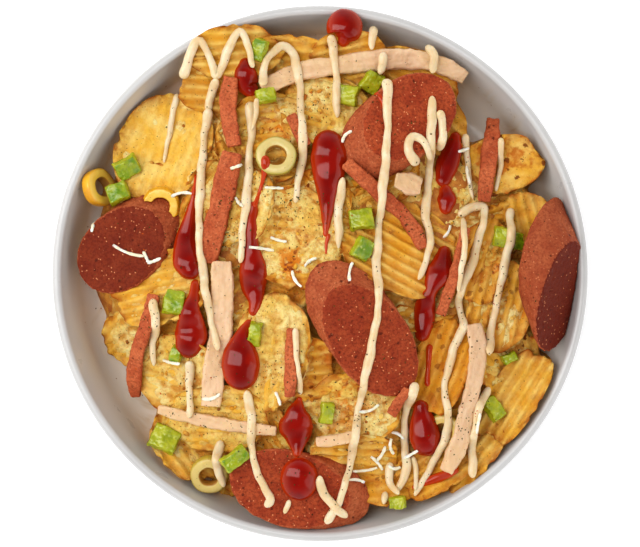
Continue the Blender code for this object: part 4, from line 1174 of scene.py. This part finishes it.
def make_pale_sauce(surface):
    """Lines of thick pale sauce that hang over what they cross."""
    rng = random.Random(SEED + 1)
    heap = Heap()
    for name, points in PALE_LINES.items():
        half = SAUCE_WIDTH / 2 * (SAUCE_THIN_SHARE if name in THIN_LINES else 1)
        plan = swayed(smooth_line([point(p) for p in points], SAUCE_STEP), rng)
        heights = [surface.around(p.x, p.y, half * 0.8)[-1] for p in plan]
        heights = eased(settle(heights, SAUCE_EASE), 4)
        line = with_dense_ends([Vector((p.x, p.y, height + half * 0.25)) for p, height in zip(plan, heights)])
        halves = sauce_halves(line, half, name in POINTED_LINES, rng)
        made, faces = tube(line, halves, halves, SAUCE_SIDES, sauce_section)
        # How low on the tube's section each point lies, for the underside's colour: partly food seen through,
        # partly painted shade.
        low = [max(0.0, -math.sin(math.tau * (k - 0.5) / SAUCE_SIDES)) for k in range(SAUCE_SIDES)]
        heap.add_tube(made, faces, low=low * len(line))
        surface.add(made, faces)
    heap.made("pale_sauce_lines", pale_sauce_material(), "chips", "chip_heap")


def shred_section(turn):
    across, rise = math.cos(turn), math.sin(turn)
    return math.copysign(abs(across) ** 0.6, across), math.copysign(abs(rise) ** 0.6, rise)


def make_shreds(surface):
    """Short bent rods of grated cheese, lying where they fell."""
    rng = random.Random(SEED + 2)
    heap = Heap()
    for centre, bearing, length in SHREDS:
        ahead, side = unit(bearing), unit(bearing + 90)
        bend = rng.uniform(-1.3, 1.3) * MM
        line, halves = [], []
        for i in range(SHRED_STEPS):
            t = 2 * i / (SHRED_STEPS - 1) - 1
            p = point(centre) + ahead * length * MM / 2 * t + side * bend * t * t
            p.z = surface.around(p.x, p.y, 0.7 * MM)[-2]
            line.append(p)
            halves.append((SHRED_HALF if abs(t) < 0.9 else SHRED_HALF * 0.7) * rng.uniform(0.75, 1.15))
        heights = eased(settle([p.z for p in line], 3), 2)
        line = [Vector((p.x, p.y, height + SHRED_HALF / 2)) for p, height in zip(line, heights)]
        heap.add_tube(*tube(line, halves, halves, SHRED_SIDES, shred_section))
    heap.made("cheese_shreds", shred_material(), "chips")


def scatter_place(rng):
    """A random place on the heap, in every other case in one of the clusters."""
    if rng.random() < 0.5:
        centre, reach = rng.choice(CLUSTERS)
        return point(centre) + Vector((rng.gauss(0, reach / 2) * MM, rng.gauss(0, reach / 2) * MM, 0))
    bearing = rng.uniform(0, math.tau)
    return polar(math.sqrt(rng.random()) * (mound_edge(bearing) + 3 * MM), bearing)


def make_crumbs(surface, material):
    """Small rough lumps of chip and crust that lie on the heap."""
    rng = random.Random(SEED + 4)
    heap = Heap()
    while len(heap.points) < CRUMB_COUNT:
        at = scatter_place(rng)
        height, normal, tree, _ = surface.hit(at.x, at.y)
        if tree is None or tree > CHEESE_TREE or normal.z < 0.4:
            continue
        size = rng.uniform(*CRUMB_SIZE) * rng.uniform(0.6, 1) / 2
        matrix = frame_at(Vector((at.x, at.y, height + size * 0.25)), normal, unit(rng.uniform(0, 360)))
        stretch = Vector((rng.uniform(0.8, 1.5), rng.uniform(0.7, 1.1), rng.uniform(0.45, 0.8)))
        bm = bmesh.new()
        bmesh.ops.create_icosphere(bm, subdivisions=2, radius=1)
        shift = Vector((rng.uniform(0, 100), 0, 0))
        for v in bm.verts:
            v.co = (v.co * (1 + 0.45 * noise.noise(v.co * 1.7 + shift))) * stretch * size
        points = np.array([tuple(matrix @ v.co) for v in bm.verts])
        faces = np.array([[v.index for v in face.verts] for face in bm.faces])
        bm.free()
        tone, edge, spots = rng.uniform(0, 0.9), rng.random() ** 2, rng.random()
        heap.add(points, faces, tone=tone, valley=0.0, edge=edge, spots=spots)
    heap.made("crumbs", material, "chips")


def make_flecks(name, material, count, surface, rng, slot):
    """Flat, uneven crumbs of seasoning, each lying on what carries it."""
    points, faces = [], []
    while len(faces) < count * FLECK_SIDES:
        at = scatter_place(rng)
        at.z, normal, _, _ = surface.hit(at.x, at.y)
        if normal.z < 0.45:
            continue
        size = rng.uniform(*FLECK_SIZE)
        matrix = frame_at(at, normal, unit(rng.uniform(0, 360)))
        start, top = len(points), len(points) + FLECK_SIDES
        long = rng.uniform(0.7, 1.8)
        for k in range(FLECK_SIDES):
            corner = polar(size / 2 * rng.uniform(0.7, 1.1), math.tau * k / FLECK_SIDES)
            points.append(matrix @ Vector((corner.x * long, corner.y, -0.05 * MM)))
        points.append(matrix @ (UP * size * rng.uniform(0.22, 0.4)))
        faces += [(start + k, start + (k + 1) % FLECK_SIDES, top) for k in range(FLECK_SIDES)]
    make_piece(name, points, faces, [material], slot)


def make_floor():
    mesh = bpy.data.meshes.new("floor")
    corners = [(x * FLOOR_HALF, y * FLOOR_HALF, 0) for x, y in ((-1, -1), (1, -1), (1, 1), (-1, 1))]
    mesh.from_pydata(corners, [], [(0, 1, 2, 3)])
    mesh.materials.append(floor_material())
    linked("floor", mesh)


def make_camera():
    data = bpy.data.cameras.new("camera")
    data.lens = CAMERA_LENS
    data.sensor_width = CAMERA_SENSOR
    camera = linked("camera", data)
    camera.location = (0, 0, CAMERA_HEIGHT)
    bpy.context.scene.camera = camera


def make_sky():
    """A pale sky, dark overhead, so that wet surfaces seen from above stay deep in colour."""
    world = bpy.data.worlds.new("studio")
    world.use_nodes = True
    nodes, links = world.node_tree.nodes, world.node_tree.links
    background = nodes["Background"].inputs
    height = nodes.new("ShaderNodeSeparateXYZ")
    links.new(nodes.new("ShaderNodeTexCoord").outputs["Generated"], height.inputs["Vector"])
    fade = nodes.new("ShaderNodeMapRange")
    fade.inputs["From Min"].default_value = SKY_FADE_START
    fade.inputs["From Max"].default_value = SKY_FADE_END
    fade.inputs["To Min"].default_value = SKY_LOW
    fade.inputs["To Max"].default_value = SKY_OVERHEAD
    links.new(height.outputs["Z"], fade.inputs["Value"])
    links.new(fade.outputs["Result"], background["Strength"])
    background["Color"].default_value = (1, 1, 1, 1)
    bpy.context.scene.world = world


def make_lights():
    """Area lights that look at the plate."""
    for name, (place, size, power) in LIGHTS.items():
        data = bpy.data.lights.new(name, "AREA")
        data.shape = "RECTANGLE"
        data.size, data.size_y = size
        data.energy = power
        light = linked(name, data)
        light.location = place
        aim = Vector(LIGHT_TARGET) - Vector(place)
        light.rotation_euler = aim.to_track_quat("-Z", "Y").to_euler()


def set_colour_management():
    """Plain display colours, so that the food is as rich as in daylight."""
    bpy.context.scene.view_settings.view_transform = "Standard"
    bpy.context.scene.view_settings.look = "Medium High Contrast"


def main():
    surface = Surface()
    make_plate()
    chip = chip_material()
    covers = make_chips(surface, chip)
    make_bed(surface)
    make_cheese(surface, covers)
    # The cut face takes most of each slice's painted shade, the skin less.
    cut_meat = sausage_material("sausage_cut_face", (186, 88, 50), (162, 66, 36), (96, 28, 12), 0.75)
    skin = sausage_material("sausage_skin", (194, 110, 70), (172, 86, 52), (122, 50, 28), 0.45, 0.3)
    slice_materials = [cut_meat, skin]
    for name, row in SLICES.items():
        make_slice(name, row, surface, slice_materials)
    olive = olive_material()
    for name, row in OLIVES.items():
        make_olive(name, row, olive, surface)
    make_cut_olive("olive_behind_left_slice", olive, surface)
    strip = sausage_material("sausage_strip", (204, 114, 72), (182, 90, 54), (126, 52, 30), 0.4)
    chicken, pepper = chicken_material(), pepper_material()
    rng = random.Random(SEED + 3)
    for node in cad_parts:
        if node.startswith("sausage_strip_"):
            make_strip(node, strip, "sausage", surface)
        elif node.startswith("chicken_strip_"):
            make_strip(node, chicken, "chicken", surface)
    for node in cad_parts:
        if node.startswith("pepper_"):
            make_pepper(node, pepper, surface, rng)
    red = red_sauce_material()
    for name, row in RED_DROPS.items():
        make_drop(name, row, surface, red)
    make_streaks(surface, red)
    make_crumbs(surface, chip)
    make_pale_sauce(surface)
    make_shreds(surface)
    herb = fleck_material("herb_flecks", (88, 84, 36), (48, 42, 22))
    chilli = fleck_material("chilli_flecks", (196, 92, 30), (140, 48, 18))
    make_flecks("herb_flecks", herb, FLECK_COUNT, surface, rng, "pepper")
    make_flecks("chilli_flecks", chilli, CHILLI_COUNT, surface, rng, "chips")
    make_floor()
    make_camera()
    make_lights()
    make_sky()
    set_colour_management()


main()
